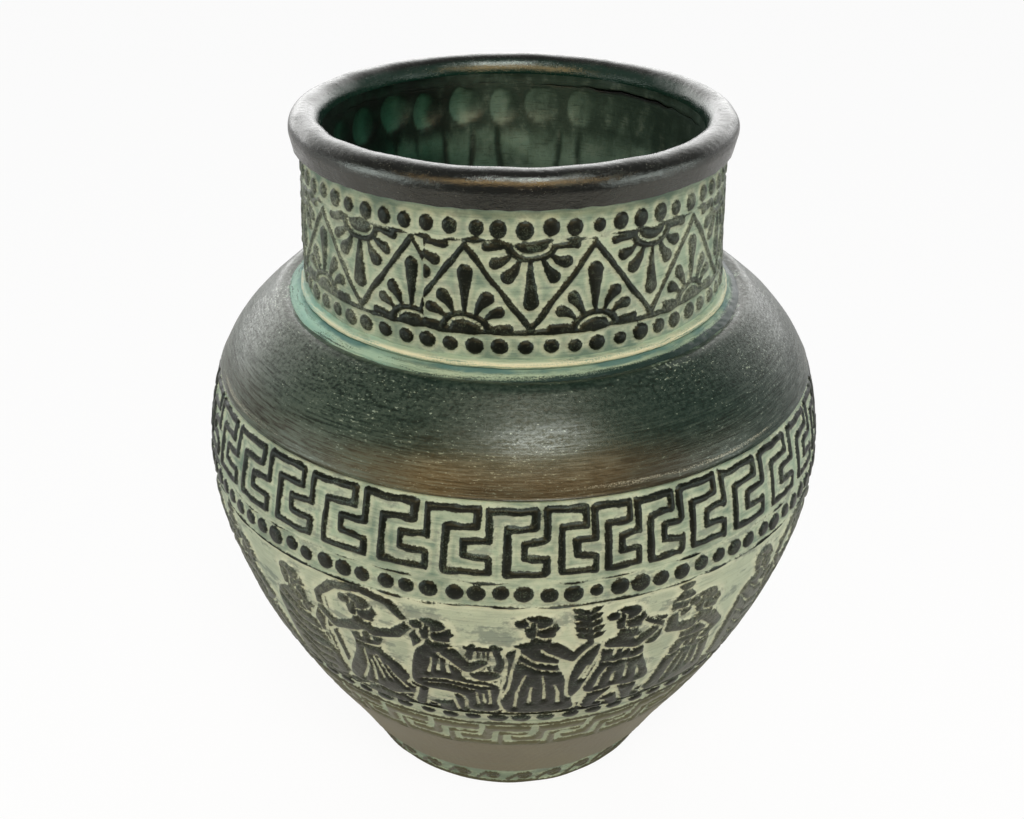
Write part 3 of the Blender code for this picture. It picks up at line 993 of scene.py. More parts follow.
# Fillet
FILLET_GREEN = paint(146, 166, 144)
FILLET_SHADE = paint(84, 110, 98)
FILLET_PALE = paint(168, 180, 154)
TURQUOISE = paint(134, 178, 168)
GROOVE_TEAL = paint(58, 100, 102)
BEAD_CREAM = paint(198, 194, 166)
SCRATCH_GREEN = paint(30, 52, 46)
FILLET_EDGE = paint(20, 42, 37)

# Inside
THIN_LEFT = paint(28, 68, 54)
THIN_RIGHT = paint(98, 124, 113)
THICK_LEFT = paint(4, 10, 8)
THICK_RIGHT = paint(38, 54, 48)
MOTTLE_GREY = paint(92, 104, 96)
STROKE_GREEN = paint(14, 24, 20)
GROOVE_BLACK = paint(5, 8, 7)

# Plain wall and bare clay
PLAIN_BROWN = paint(88, 83, 63)
PLAIN_OLIVE = paint(93, 89, 67)
PLAIN_GREEN = paint(90, 98, 80)
PLAIN_SPECK = paint(66, 62, 50)
CLAY = paint(138, 98, 70)
PALE_CLAY = paint(160, 120, 88)
CLAY_GRAIN = paint(92, 64, 46)

# Tints of what the glazes reflect
WARM_SHEEN = (1.0, 0.92, 0.68, 1.0)
RIM_SHEEN = (0.97, 0.98, 0.90, 1.0)
COOL_SHEEN = (0.84, 0.95, 0.84, 1.0)

# Stretch of noise that runs round the jar in strokes
STREAKS = (0.045, 0.045, 1.0)
BRUSH_LINES = (0.022, 0.022, 1.0)
SHORT_STROKES = (0.10, 0.10, 1.0)


def centred(noise, size):
    """Noise about zero, of the given size from end to end."""
    return (noise - 0.5) * size


def relief_glaze(name, smudges, pale=0.0, wear_and_sheen=0.0, fade=None, faded=0.0):
    """Pale wash in the ground of a stamped band, and dark glaze on what is raised.

    Smudges and pale are shares of blue-grey clouds and of cream in the wash. A share of painted sheen
    lightens the dark in grains on the jar's two sides. With fade, a height and a lower height in millimetres,
    the dark thins out between the two, to a share faded of grey-brown.
    """
    g = Glaze(name)
    raised = g.kept("raised")
    grain = g.noise(950, 3)
    fine = g.noise(2400, 2)
    streaks = g.noise(1500, 4, STREAKS)
    patches = g.noise(38, 3)
    clouds = g.noise(85, 4, (1, 1, 2.2))

    ragged = raised + centred(grain, 0.85) + centred(fine, 0.45)
    is_dark = g.ease(ragged, -0.12, 0.16)
    # Painted sheen: on the jar's two sides the dark is lightened in grains, by the share given
    if wear_and_sheen:
        aside = g.node("ShaderNodeMath", {"operation": "ABSOLUTE"}, {0: g.across()})
        sheen_on_sides = g.ease(aside + centred(clouds, 50), 34, 74) * wear_and_sheen
        sheen_grain = 0.25 + g.ease(grain + centred(fine, 0.8), 0.40, 0.62) * 0.75
        is_dark = is_dark * (1 - sheen_on_sides * sheen_grain)
    beside = g.ease(raised + centred(grain, 1.2), -2.3, -0.3)

    wash = g.blend(THIN_SAGE, SAGE, g.ease(patches * 0.5 + streaks * 0.15 + clouds * 0.45, 0.44, 0.64))
    creamy = pale + beside * (0.3 + g.ease(clouds, 0.35, 0.6) * 0.45)
    wash = g.blend(wash, CREAM, creamy + g.ease(streaks, 0.52, 0.74) * 0.2)
    thin = g.ease(streaks, 0.46, 0.30) * 0.18 + g.ease(clouds + centred(grain, 0.25), 0.53, 0.66) * smudges
    wash = g.blend(wash, BLUE_GREY, thin)
    wash = g.blend(wash, BROWN_BLACK, g.ease(fine, 0.62, 0.76) * 0.35)

    glaze = g.blend(BLACK, BROWN_BLACK, g.ease(patches, 0.45, 0.60) * 0.7)
    glaze = g.blend(glaze, THIN_SAGE, g.ease(clouds + centred(fine, 0.9), 0.60, 0.85) * 0.3)
    speckled = g.ease(grain * 0.5 + fine * 0.5 + centred(clouds, 0.3), 0.52, 0.66)
    glaze = g.blend(glaze, WORN_SPECKLE, speckled * 0.3)
    if fade:
        fading = g.ease(g.level() + centred(clouds, 8), *fade) * faded
        glaze = g.blend(glaze, GREY_BROWN, fading)
        wash = g.blend(wash, FADED_SAGE, fading * 0.6)
    bumps = streaks * 0.5 + grain * 0.5
    return g.done(
        colour=g.blend(wash, glaze, is_dark),
        roughness=0.66 - is_dark * 0.28 + centred(grain, 0.2),
        normal=g.bump(bumps, 0.30, 0.6),
        specular=0.24,
        specular_tint=COOL_SHEEN,
    )


def shoulder_glaze():
    """Green-black glaze, the more brushed the lower down, with pale specks and a bronze tone there that also
    stands in for a warm reflection; left of the front a painted bronze reflection, and on the left dust with
    painted sheen.
    """
    g = Glaze("brushed_green_black")
    level = g.level()
    grain = g.noise(1250, 4, (0.55, 0.55, 1.0), 0.65)
    brush = g.noise(1500, 4, SHORT_STROKES, 0.65)
    hairs = g.noise(2400, 2, BRUSH_LINES)
    fine = g.noise(2600, 2)
    specks = g.noise(2100, 2, (0.40, 0.40, 1.0))
    broad = g.noise(420, 3, (0.04, 0.04, 1.0))
    patches = g.noise(26, 3)
    across = g.across()
    uneven_level = level + centred(patches, 14)
    # Dust, and painted sheen: the shoulder's left side is lightened
    dust_and_left_sheen = g.ease(across + centred(patches, 90), 5, -70)
    # Bronze tone low on the shoulder, which also stands in for the warm reflection there
    bronze_and_reflection = g.ease(uneven_level, 181, 172) * g.ease(across + centred(patches, 40), 84, 44)
    is_brushed = 0.35 + g.ease(uneven_level, 192, 174) * 0.5
    worked = grain * (1 - is_brushed) + (brush * 0.55 + hairs * 0.45) * is_brushed

    glaze = g.blend(GREEN_BLACK, BRONZE_BLACK, bronze_and_reflection)
    # Painted bronze reflection left of the front, where the warm light is mirrored
    painted_bronze_reflection = bronze_and_reflection * g.ease(across, -68, -46) * g.ease(across, -6, -26)
    glaze = g.blend(glaze, BRONZE_REFLECTION_PAINT, painted_bronze_reflection * (0.35 + worked * 0.6))
    # Brushed grey strokes, stronger on the left, where they also carry the painted sheen
    stroked = g.ease(worked + dust_and_left_sheen * 0.08, 0.44, 0.68)
    glaze = g.blend(glaze, BRUSH_GREY, stroked * (0.42 + dust_and_left_sheen * 0.42))
    glaze = g.blend(glaze, BRUSH_SHADE, g.ease(worked, 0.52, 0.34) * 0.7)
    sprinkled = g.ease(specks + centred(brush, 0.6) + centred(patches, 0.5), 0.65, 0.76)
    glaze = g.blend(glaze, PALE_SPECK, sprinkled * (0.25 + g.ease(level, 172, 188) * 0.4))
    reach = g.reach()
    dry_brush = g.ease(brush + (82 - reach) * 0.04 + centred(fine, 0.3), 0.50, 0.60)
    glaze = g.blend(glaze, DRY_GREEN, dry_brush * g.ease(reach, 87, 82) * 0.8)
    # Rubbed wear along the lower edge of the shoulder
    at_edge = g.ease(level, 172.0, 171.0) * g.ease(level, 169.8, 170.4)
    wear_and_sheen = g.ease(broad + centred(fine, 0.6), 0.60, 0.70) * at_edge
    glaze = g.blend(glaze, RUBBED_EDGE, wear_and_sheen * 0.5)
    return g.done(
        colour=glaze,
        roughness=0.36 + centred(worked, 0.3) + centred(fine, 0.2),
        normal=g.bump(worked * 0.75 + fine * 0.25, 0.45, 0.5),
        specular=0.38,
        specular_tint=WARM_SHEEN,
        coat=g.ease(worked + centred(specks, 0.3), 0.40, 0.64) * (0.66 - bronze_and_reflection * 0.2),
        coat_roughness=0.25,
    )


def rim_glaze():
    """Dark pitted glaze of the rolled rim, green towards the inside, with thin smears, and pale specks in the
    pits that are dust and painted glints.
    """
    g = Glaze("pitted_rim_black")
    grain = g.noise(1000, 4, (0.7, 0.7, 1.0), 0.65)
    fine = g.noise(2600, 2)
    smears = g.noise(650, 4, (0.14, 0.14, 1.0), 0.6)
    patches = g.noise(30, 3)
    glaze = g.blend(RIM_BLACK, RIM_BROWN, g.ease(patches, 0.42, 0.62))
    glaze = g.blend(glaze, RIM_SMEAR, g.ease(smears, 0.52, 0.70) * 0.25)
    glaze = g.blend(glaze, RIM_SHADE, g.ease(grain, 0.52, 0.40) * 0.8)
    is_inner = g.ease(g.reach() + centred(patches, 3) + centred(grain, 1.5), 68.9, 66.8)
    glaze = g.blend(glaze, RIM_GREEN, is_inner)
    # Pale specks in the pits: dust, and painted glints
    glaze = g.blend(glaze, PIT_DUST_AND_GLINT, g.ease(fine + centred(grain, 0.3), 0.68, 0.76) * 0.45)
    return g.done(
        colour=glaze,
        roughness=0.20 + centred(grain, 0.35) + centred(smears, 0.7),
        normal=g.bump(grain * 0.35 + fine * 0.3 + smears * 0.35, 0.45, 0.55),
        specular=0.72,
        specular_tint=RIM_SHEEN,
    )


def fillet_glaze():
    """Cream bead over a teal groove and a streaked pale green strip, which ends raggedly on the shoulder."""
    g = Glaze("turquoise_and_cream_wash")
    streaks = g.noise(1700, 5, BRUSH_LINES, 0.7)
    clouds = g.noise(60, 3)
    fine = g.noise(1900, 3)
    level = g.level() - BEAD_HEIGHT + centred(streaks, 0.9) + centred(clouds, 0.9)
    wash = g.blend(FILLET_GREEN, FILLET_SHADE, g.ease(streaks, 0.56, 0.38) * 0.8)
    wash = g.blend(wash, FILLET_PALE, g.ease(clouds, 0.48, 0.68) * 0.5)
    wash = g.blend(wash, TURQUOISE, g.ease(g.across() + centred(clouds, 40), -32, -72) * 0.7)
    groove = g.ease(level, -0.6, -1.0) * g.ease(level, -1.8, -1.4)
    wash = g.blend(wash, GROOVE_TEAL, groove * (0.35 + g.ease(clouds, 0.42, 0.60) * 0.5))
    bead = g.ease(level, -0.6, -0.2) * g.ease(level, 1.5, 0.8)
    wash = g.blend(wash, BEAD_CREAM, bead * g.ease(streaks + centred(fine, 0.4), 0.36, 0.56) * 0.85)
    scratches = g.ease(g.noise(2300, 3, BRUSH_LINES, 0.6) + centred(fine, 0.5), 0.52, 0.62)
    wash = g.blend(wash, SCRATCH_GREEN, scratches * g.ease(level, -0.9, -2.4) * 0.8)
    lopsided = g.reach() + g.across() * 0.022
    ragged = g.ease(lopsided + centred(fine, 2.4) + centred(streaks, 5.0), 80.7, 82.2)
    wash = g.blend(wash, FILLET_EDGE, ragged)
    return g.done(
        colour=wash,
        roughness=0.58 + centred(fine, 0.2) - ragged * 0.2,
        normal=g.bump(streaks, 0.30, 0.6),
        specular=0.38,
    )


def inside_glaze():
    """Bottle-green glaze, thin and pale on the pads that the potter's fingers left, dark in the grooves, with
    painted light on one side of each dimple under the rim, and paler towards the viewer's right.
    """
    g = Glaze("bottle_green_inside")
    pad = g.kept("pad")
    clouds = g.noise(46, 4)
    mottle = g.noise(210, 4, (1, 1, 0.6), 0.65)
    brush = g.noise(1900, 3, SHORT_STROKES)
    fine = g.noise(1500, 3)
    # Paler towards the viewer's right, darker to the left
    towards_right = g.ease(g.across() + centred(clouds, 70), -50, 10)
    thin = g.blend(THIN_LEFT, THIN_RIGHT, towards_right)
    thick = g.blend(THICK_LEFT, THICK_RIGHT, towards_right)
    glaze = g.blend(thick, thin, g.ease(pad + centred(clouds, 0.5) + centred(mottle, 0.7), 0.10, 0.95))
    glaze = g.blend(glaze, MOTTLE_GREY, g.ease(mottle + centred(brush, 0.3), 0.54, 0.74) * towards_right * 0.5)
    glaze = g.blend(glaze, STROKE_GREEN, g.ease(brush + centred(fine, 0.4), 0.46, 0.32) * 0.35)
    glaze = g.blend(glaze, GROOVE_BLACK, g.ease(pad, -0.1, -0.7))
    return g.done(
        colour=glaze,
        roughness=0.36 + centred(fine, 0.25),
        normal=g.bump(brush * 0.5 + fine * 0.5, 0.3, 0.6),
        specular=0.5,
    )


def lower_glaze():
    """Thin grey-brown glaze of the plain wall."""
    g = Glaze("grey_brown_plain")
    streaks = g.noise(700, 4, STREAKS)
    clouds = g.noise(40, 3)
    fine = g.noise(1800, 3)
    glaze = g.blend(PLAIN_BROWN, PLAIN_OLIVE, g.ease(clouds, 0.35, 0.65))
    glaze = g.blend(glaze, PLAIN_GREEN, g.ease(streaks, 0.55, 0.75) * 0.4)
    glaze = g.blend(glaze, PLAIN_SPECK, g.ease(fine, 0.62, 0.74) * 0.4)
    return g.done(
        colour=glaze,
        roughness=0.50 + centred(fine, 0.2),
        normal=g.bump(streaks * 0.5 + fine * 0.5, 0.2, 0.5),
        specular=0.40,
    )


def clay_underneath():
    """Bare fired clay of the underside."""
    g = Glaze("bare_clay")
    grain = g.noise(900, 4)
    clouds = g.noise(50, 3)
    clay = g.blend(CLAY, PALE_CLAY, g.ease(clouds, 0.35, 0.65))
    clay = g.blend(clay, CLAY_GRAIN, g.ease(grain, 0.58, 0.72) * 0.6)
    return g.done(colour=clay, roughness=0.82, normal=g.bump(grain, 0.3, 0.6), specular=0.3)


# Marks of fingers inside the neck, and the crack under the rim

# Lower marks: columns round the neck, height from row to row, height of one row, and reach of a groove
PAD_COLUMNS = 37
PAD_RISE = 17.0
PAD_LEVEL = 222.0
GROOVE_HALF = 0.20
# Heights between which the lower marks give way to the dimples
DIMPLES_START = (227.0, 234.0)
DIMPLE_COUNT = 26
DIMPLE_PHASE = 0.255
DIMPLE_LEVEL = 240.9
DIMPLE_HALF_HEIGHT = 7.6
# Middle of a dimple in its share of the row, and its reach from there to the crisp and to the smeared side
DIMPLE_MIDDLE = 0.58
DIMPLE_CRISP = 0.37
DIMPLE_SMEAR = 0.56
DIMPLE_DEPTH = 1.6
# Direction in which the dimples are clearest
CLEAR_SIDE = math.radians(-145)
# Crack, in millimetres: rows of points beside it, its sizes, and how far it is felt above and below
CRACK_STEPS = np.array((1.4, 0.9, 0.5, 0.2, 0.0))
CRACK_DEPTH = 0.15
CRACK_GAP = 0.06
CRACK_OPENING = 0.45
CRACK_WANDER = 0.5
CRACK_FADE = 3.0
CRACK_ABOVE = 1.4
CRACK_BELOW = 2.0
# Middle of the part that has opened and its reach to the sides, in degrees
CRACK_MIDDLE = 136.0
CRACK_REACH = 30.0


def smooth_step(values, low, high):
    t = np.clip((values - low) / (high - low), 0, 1)
    return t * t * (3 - 2 * t)


def fingertip_row(angle, height, seed):
    """Dimples under the rim, crisp on one side and smeared on the other: how clear, with painted light on the
    crisp side that fades across the smeared side, and how deep in mm.
    """
    draw = np.random.default_rng(seed)
    lift = draw.normal(0, 1.0, DIMPLE_COUNT)
    strength = draw.uniform(0.7, 1.1, DIMPLE_COUNT)
    play = waver(angle, 0.06, (4, 30), seed=seed + 1, along=height, tilt=0.1)
    place = angle / FULL_TURN * DIMPLE_COUNT + DIMPLE_PHASE + play
    home = np.floor(place).astype(int)
    column = home % DIMPLE_COUNT
    off = place - home - DIMPLE_MIDDLE
    aside = np.where(off > 0, off / DIMPLE_CRISP, -off / DIMPLE_SMEAR)
    up = (height - DIMPLE_LEVEL - lift[column]) / DIMPLE_HALF_HEIGHT
    bowl = np.clip(1 - aside ** 2 - up ** 2, 0, 1)
    side = strength[column] * (0.15 + 0.85 * smooth_step(np.cos(angle - CLEAR_SIDE), 0.2, 0.95))
    # Painted light in each dimple: full on the crisp side, fading out across the smeared side
    smeared = smooth_step(1 + off / DIMPLE_SMEAR, 0.0, 1.0)
    return smooth_step(bowl, 0.0, 0.30) * smeared * side, DIMPLE_DEPTH * bowl * side


def finger_pads(angle, height, seed):
    """Finger marks inside the neck: a row of dimples over pads with grooves between their columns.

    Returns how thin the glaze lies, from 0 in a groove to 1, with painted light in the dimples, and how far
    the clay stands in, in millimetres.
    """
    draw = np.random.default_rng(seed)
    lift = draw.normal(0, 1.8, PAD_COLUMNS)
    strength = draw.uniform(0.45, 1.15, PAD_COLUMNS)
    play = waver(angle, 0.10, (5, 34), seed=seed + 1, along=height, tilt=0.08)
    place = angle / FULL_TURN * PAD_COLUMNS + play
    home = np.floor(place).astype(int)
    column = home % PAD_COLUMNS
    aside = np.abs(place - home - 0.5) * 2
    edge = np.round(place).astype(int) % PAD_COLUMNS
    groove = np.exp(-((1 - aside) / GROOVE_HALF) ** 2) * np.clip(2.0 * strength[edge] - 1.2, 0, 0.9)
    wave = 0.5 + 0.5 * np.cos(FULL_TURN * (height - PAD_LEVEL + 2 * lift[column]) / PAD_RISE)
    lower_pad = (1 - 1.05 * groove) * (0.36 + 0.22 * wave + 0.12 * strength[column])
    lower_depth = 0.45 * wave * (1 - aside ** 2) - 0.8 * groove
    clear, deep = fingertip_row(angle, height, seed=seed + 2)
    is_upper = smooth_step(height, *DIMPLES_START)
    # In the dimples the glaze's paleness holds painted light as well as thin glaze
    pad = lower_pad + (0.20 + 0.58 * clear - lower_pad) * is_upper
    return pad, lower_depth + (-deep - lower_depth) * is_upper


def crack_lift(angle, height, line):
    """Wander of the crack between rim and neck, for what lies near its line."""
    near_line = np.clip(1 - np.abs(height - line) / CRACK_FADE, 0, 1)
    return waver(angle, CRACK_WANDER, (5, 60), seed=87) * near_line


def crack_show(angle):
    """How far the crack has opened, from 0 to 1."""
    open_part = np.clip(1.4 - np.abs(np.degrees(angle) - CRACK_MIDDLE) / CRACK_REACH, 0, 1)
    return np.clip(open_part + waver(angle, 0.15, (5, 24), seed=92), 0, 1)


def bore(levels):
    """Points of the neck's bore at levels."""
    return np.column_stack((np.full(len(levels), NECK_BORE), levels))


# Pieces

# Steps of each ring round the jar, and spacing of its rows in millimetres
NECK_STEPS, NECK_SPACING, NECK_INNER_SPACING = 760, 0.64, 1.6
SHOULDER_STEPS, SHOULDER_SPACING, SHOULDER_INNER_SPACING = 720, 0.75, 2.5
FOOT_STEPS, FOOT_SPACING = 660, 0.48
RIM_STEPS = 720
FILLET_STEPS = 720
COIL_STEPS = 240
BODY_INNER_SPACING = 3.5

# How far the neck strip goes up under the rim
NECK_UNDER_RIM = 1.2
# How far the meander band goes up under the shoulder's edge
MEANDER_LAP = 0.2
# Depth at which the plain wall counts as raised all over
PLAIN_DEPTH = 3.0
# Turned-in edge of the shoulder over the meander: way in, and height over the edge's line
SHOULDER_LIP = np.array([(0.0, 0.30), (0.12, 0.05), (0.45, -0.10)])
SHOULDER_SWELL = 0.15
# Roll of the rim: its arc in degrees, points there and down its side, and how square its sides and crest are
RIM_ARC = (180, -6)
RIM_ARC_POINTS = 48
RIM_SIDE_POINTS = 12
RIM_OUTER_SQUARENESS, RIM_INNER_SQUARENESS, RIM_CREST_SQUARENESS = 0.92, 0.80, 0.85
RIM_INNER_DROP = 1.0
RIM_RAGGED = 1.5
# Fillet: arc of the bead in degrees, its half width and half height, and the swell of the strip under it
BEAD_ARC = (100, -62)
BEAD_POINTS = 13
BEAD_HALF_WIDTH = 1.5
BEAD_HALF_HEIGHT = 1.3
FILLET_POINTS = 16
FILLET_SWELL = 0.3
# Foot: worn round at its heel, with shallower waves there
HEEL_TOP = 0.9
HEEL_RADIUS = 0.8
HEEL_ARC = (-15, -90)
HEEL_POINTS = 6
HEEL_FADE = 1.5
# Floor: gap to the foot, corners round it, rings across it, dip, ridges, and edge of its hollow underside
FLOOR_GAP = 0.3
FLOOR_CORNERS = 180
FLOOR_RINGS = 14
FLOOR_DIP = 0.5
FLOOR_RIDGE = 0.4
FLOOR_RIDGE_PACE = 1.1
FLOOR_HOLLOW_EDGE = 6
# How thin the glaze lies on the plain insides
BODY_PAD, SHOULDER_PAD, RIM_PAD, FLOOR_PAD = 0.5, 0.4, 0.25, 0.4
# Coils inside: points across, gap to the clay behind, reach to the sides of a joint, and swell
COIL_POINTS = 9
COIL_GAP = 0.5
COIL_SWELL = 3.0
BELLY_COIL_REACH = 7.0
NECK_COIL_REACH = 4.7
FLOOR_COIL_WIDTH = 8.5
FLOOR_COIL_LAP = 2.0
FLOOR_COIL_HEIGHT = 4.5
FLOOR_COIL_SWELL = (0.9, -0.4)


def neck_collar(glaze, inner):
    """Stamped strip of the neck, with the finger marks inside."""
    slope = (NECK_TOP_RADIUS - NECK_FOOT_RADIUS) / (NECK_TOP - NECK_SEAT)
    outer_levels = spaced(NECK_TOP + NECK_UNDER_RIM, NECK_STRIP_FOOT, NECK_SPACING)
    outer = np.column_stack((NECK_FOOT_RADIUS + slope * (outer_levels - NECK_SEAT), outer_levels))
    bore_levels = spaced(NECK_TOE, NECK_SLANT_TOP - CRACK_BELOW, NECK_INNER_SPACING)
    inside = bore(np.concatenate((bore_levels, NECK_SLANT_TOP - CRACK_STEPS)))
    seat = [(NECK_FOOT_RADIUS - 0.8, FILLET_FOOT + 0.2)]
    ring = Ring("neck_strip", Section((OUTSIDE, outer), (JOINT, seat), (INSIDE, inside)), NECK_STEPS)
    depth = stamped(ring, neck_pattern)
    pad, pressed = finger_pads(ring.angle, ring.height, seed=81)
    below_crack = np.clip((NECK_SLANT_TOP - ring.height) / CRACK_BELOW, 0, 1)
    shown = crack_show(ring.angle)
    ring.store("pad", np.where(ring.inside, pad - (1 - below_crack) * shown, 0))
    inner_depth = pressed * below_crack - CRACK_DEPTH * shown * (1 - below_crack) ** 3
    lift = np.where(ring.inside, crack_lift(ring.angle, ring.height, NECK_SLANT_TOP), 0)
    ring.press(np.where(ring.inside, inner_depth, depth), lift)
    ring.finish("neck_collar", "relief_glaze", glaze, inner)


def body_ring(name, node, slot, low, high, pattern, glaze, inner, steps, spacing):
    """Ring of the body wall, with its pattern outside and the potter's soft ridges inside."""
    ring = Ring(name, wall_section(low, high, spacing, BODY_INNER_SPACING), steps)
    depth = stamped(ring, pattern)
    ridges = waver(ring.angle, 0.35, (4, 30), seed=82, along=ring.height, tilt=0.15)
    ring.store("pad", np.where(ring.inside, BODY_PAD + ridges, 0))
    ring.press(np.where(ring.inside, ridges, depth))
    ring.finish(node, slot, glaze, inner)


def plain_pattern(angle, height, radius):
    """No pattern: the whole wall is raised."""
    return np.full(angle.shape, PLAIN_DEPTH)


def shoulder(glaze, inner):
    """Plain dome from the fillet's shelf down to the meander."""
    dome = wall_points(spaced(SHELF_EDGE, SHOULDER_EDGE + SHOULDER_LIP[0, 1], SHOULDER_SPACING))
    edge = wall_points(np.full(len(SHOULDER_LIP), SHOULDER_EDGE)) + SHOULDER_LIP * (-1, 1)
    outer = np.vstack((SHELF, dome, edge))
    inside = wall_points(spaced(SHOULDER_EDGE, NECK_SEAT, SHOULDER_INNER_SPACING), WALL)
    seat = [(SHOULDER_HOLE, inside[-1][1])]
    section = Section((OUTSIDE, outer), (INSIDE, inside), (JOINT, seat))
    ring = Ring("shoulder_dome", section, SHOULDER_STEPS)
    ridges = waver(ring.angle, 0.05, (2, 16), seed=83, along=ring.height, tilt=0.5)
    ridges = ridges + waver(ring.angle, 0.02, (3, 14), seed=84, along=ring.height, tilt=2.6)
    ring.store("pad", np.where(ring.inside, SHOULDER_PAD + ridges, 0))
    ring.press(np.where(ring.outside, SHOULDER_SWELL + ridges, 0.0))
    ring.finish("shoulder_ring", "dark_glaze", glaze, inner)


def rim(glaze, inner):
    """Rolled rim, with a ragged foot over the neck strip and the crack inside."""
    arc = np.radians(np.linspace(*RIM_ARC, RIM_ARC_POINTS))
    across, up = np.cos(arc), np.sin(arc)
    is_outer = across > 0
    width = np.where(is_outer, RIM_OUTER_WIDTH, -RIM_HALF_WIDTH)
    squareness = np.where(is_outer, RIM_OUTER_SQUARENESS, RIM_INNER_SQUARENESS)
    rise = RIM_CREST * np.sign(up) * np.abs(up) ** RIM_CREST_SQUARENESS
    crest = np.column_stack((
        RIM_CENTRE_RADIUS + width * np.abs(across) ** squareness,
        RIM_CENTRE_HEIGHT + rise - RIM_INNER_DROP * np.maximum(-across, 0) ** 2,
    ))
    side = np.linspace(crest[-1], (RIM_FOOT_RADIUS, NECK_TOP), RIM_SIDE_POINTS)[1:]
    crack_top = NECK_SLANT_TOP + CRACK_GAP
    inside = bore(np.concatenate((crack_top + CRACK_STEPS[::-1], [crest[0, 1] - 0.3])))
    under = [(RIM_FOOT_RADIUS - 1.4, NECK_TOP + 0.3)]
    section = Section((OUTSIDE, np.vstack((crest, side))), (JOINT, under), (INSIDE, inside))
    ring = Ring("rim_roll", section, RIM_STEPS)
    pits = waver(ring.angle, 0.015, (40, 150), seed=85, along=ring.along, tilt=1.6)
    pits = pits + waver(ring.angle, 0.14, (3, 24), seed=86, along=ring.along, tilt=0.12)
    near_foot = np.clip((NECK_TOP + RIM_RAGGED - ring.height) / RIM_RAGGED, 0, 1)
    ragged_foot = waver(ring.angle, 0.16, (5, 70), seed=90) * near_foot
    above_crack = np.clip((ring.height - crack_top) / CRACK_ABOVE, 0, 1)
    shown = crack_show(ring.angle)
    ring.store("pad", np.where(ring.inside, RIM_PAD - (1 - above_crack) * shown, 0))
    opened = CRACK_OPENING * shown * (1 - above_crack)
    lift = np.where(ring.inside, crack_lift(ring.angle, ring.height, crack_top) + opened, ragged_foot)
    crack_edge = -CRACK_DEPTH * shown * (1 - above_crack) ** 3
    ring.press(np.where(ring.outside, pits, crack_edge), lift)
    ring.finish("rim_coil", "dark_glaze", glaze, inner)


def fillet(glaze, inner):
    """Coil round the neck's foot: a bead over a strip that runs out onto the shoulder."""
    bead = np.radians(np.linspace(*BEAD_ARC, BEAD_POINTS))
    neck_side = (NECK_FOOT_RADIUS - 1.8, BEAD_TOP + 0.3)
    top = np.linspace(neck_side, (BEAD_RADIUS - 1.9, BEAD_HEIGHT + BEAD_HALF_HEIGHT), 5)[:-1]
    roll = np.column_stack((
        BEAD_RADIUS - BEAD_HALF_WIDTH + BEAD_HALF_WIDTH * np.cos(bead),
        BEAD_HEIGHT + BEAD_HALF_HEIGHT * np.sin(bead),
    ))
    t = np.linspace(0, 1, FILLET_POINTS)[1:, None]
    start, end = roll[-1], np.array((FILLET_FOOT_RADIUS, FILLET_FOOT))
    strip = start + (end - start) * t + np.sin(math.pi * t) * FILLET_SWELL
    foot = [(NECK_FOOT_RADIUS - 2.0, FILLET_FOOT - 0.1)]
    ring = Ring("neck_bead", Section((OUTSIDE, np.vstack((top, roll, strip))), (JOINT, foot)), FILLET_STEPS)
    drag = waver(ring.angle, 0.10, (3, 40), seed=88, along=ring.along, tilt=0.8)
    drag = drag + waver(ring.angle, 0.05, (50, 130), seed=89, along=ring.along, tilt=2.0)
    ring.press(np.where(ring.outside, drag, 0))
    ring.finish("neck_fillet", "turquoise_wash", glaze, inner)


def foot(glaze, inner, clay):
    """Foot with the running waves, open inside for the floor."""
    outer = wall_points(spaced(FOOT_TOP, HEEL_TOP, FOOT_SPACING))
    bend = np.radians(np.linspace(*HEEL_ARC, HEEL_POINTS))
    heel = np.column_stack((
        outer[-1, 0] - HEEL_RADIUS + HEEL_RADIUS * np.cos(bend),
        HEEL_RADIUS + HEEL_RADIUS * np.sin(bend),
    ))
    inside = [
        (BODY_STATIONS[0, 1] - FOOT_WALL, 0.0),
        (body_outline(FLOOR_TOP)[0] - FOOT_WALL, FLOOR_TOP),
        wall_points([FOOT_TOP], WALL)[0],
    ]
    ring = Ring("foot_with_waves", Section((OUTSIDE, np.vstack((outer, heel))), (JOINT, inside)), FOOT_STEPS)
    depth = stamped(ring, foot_pattern)
    ring.press(depth * np.clip(ring.height / HEEL_FADE, 0, 1))
    ring.finish("foot_ring", "relief_glaze", glaze, inner, clay)


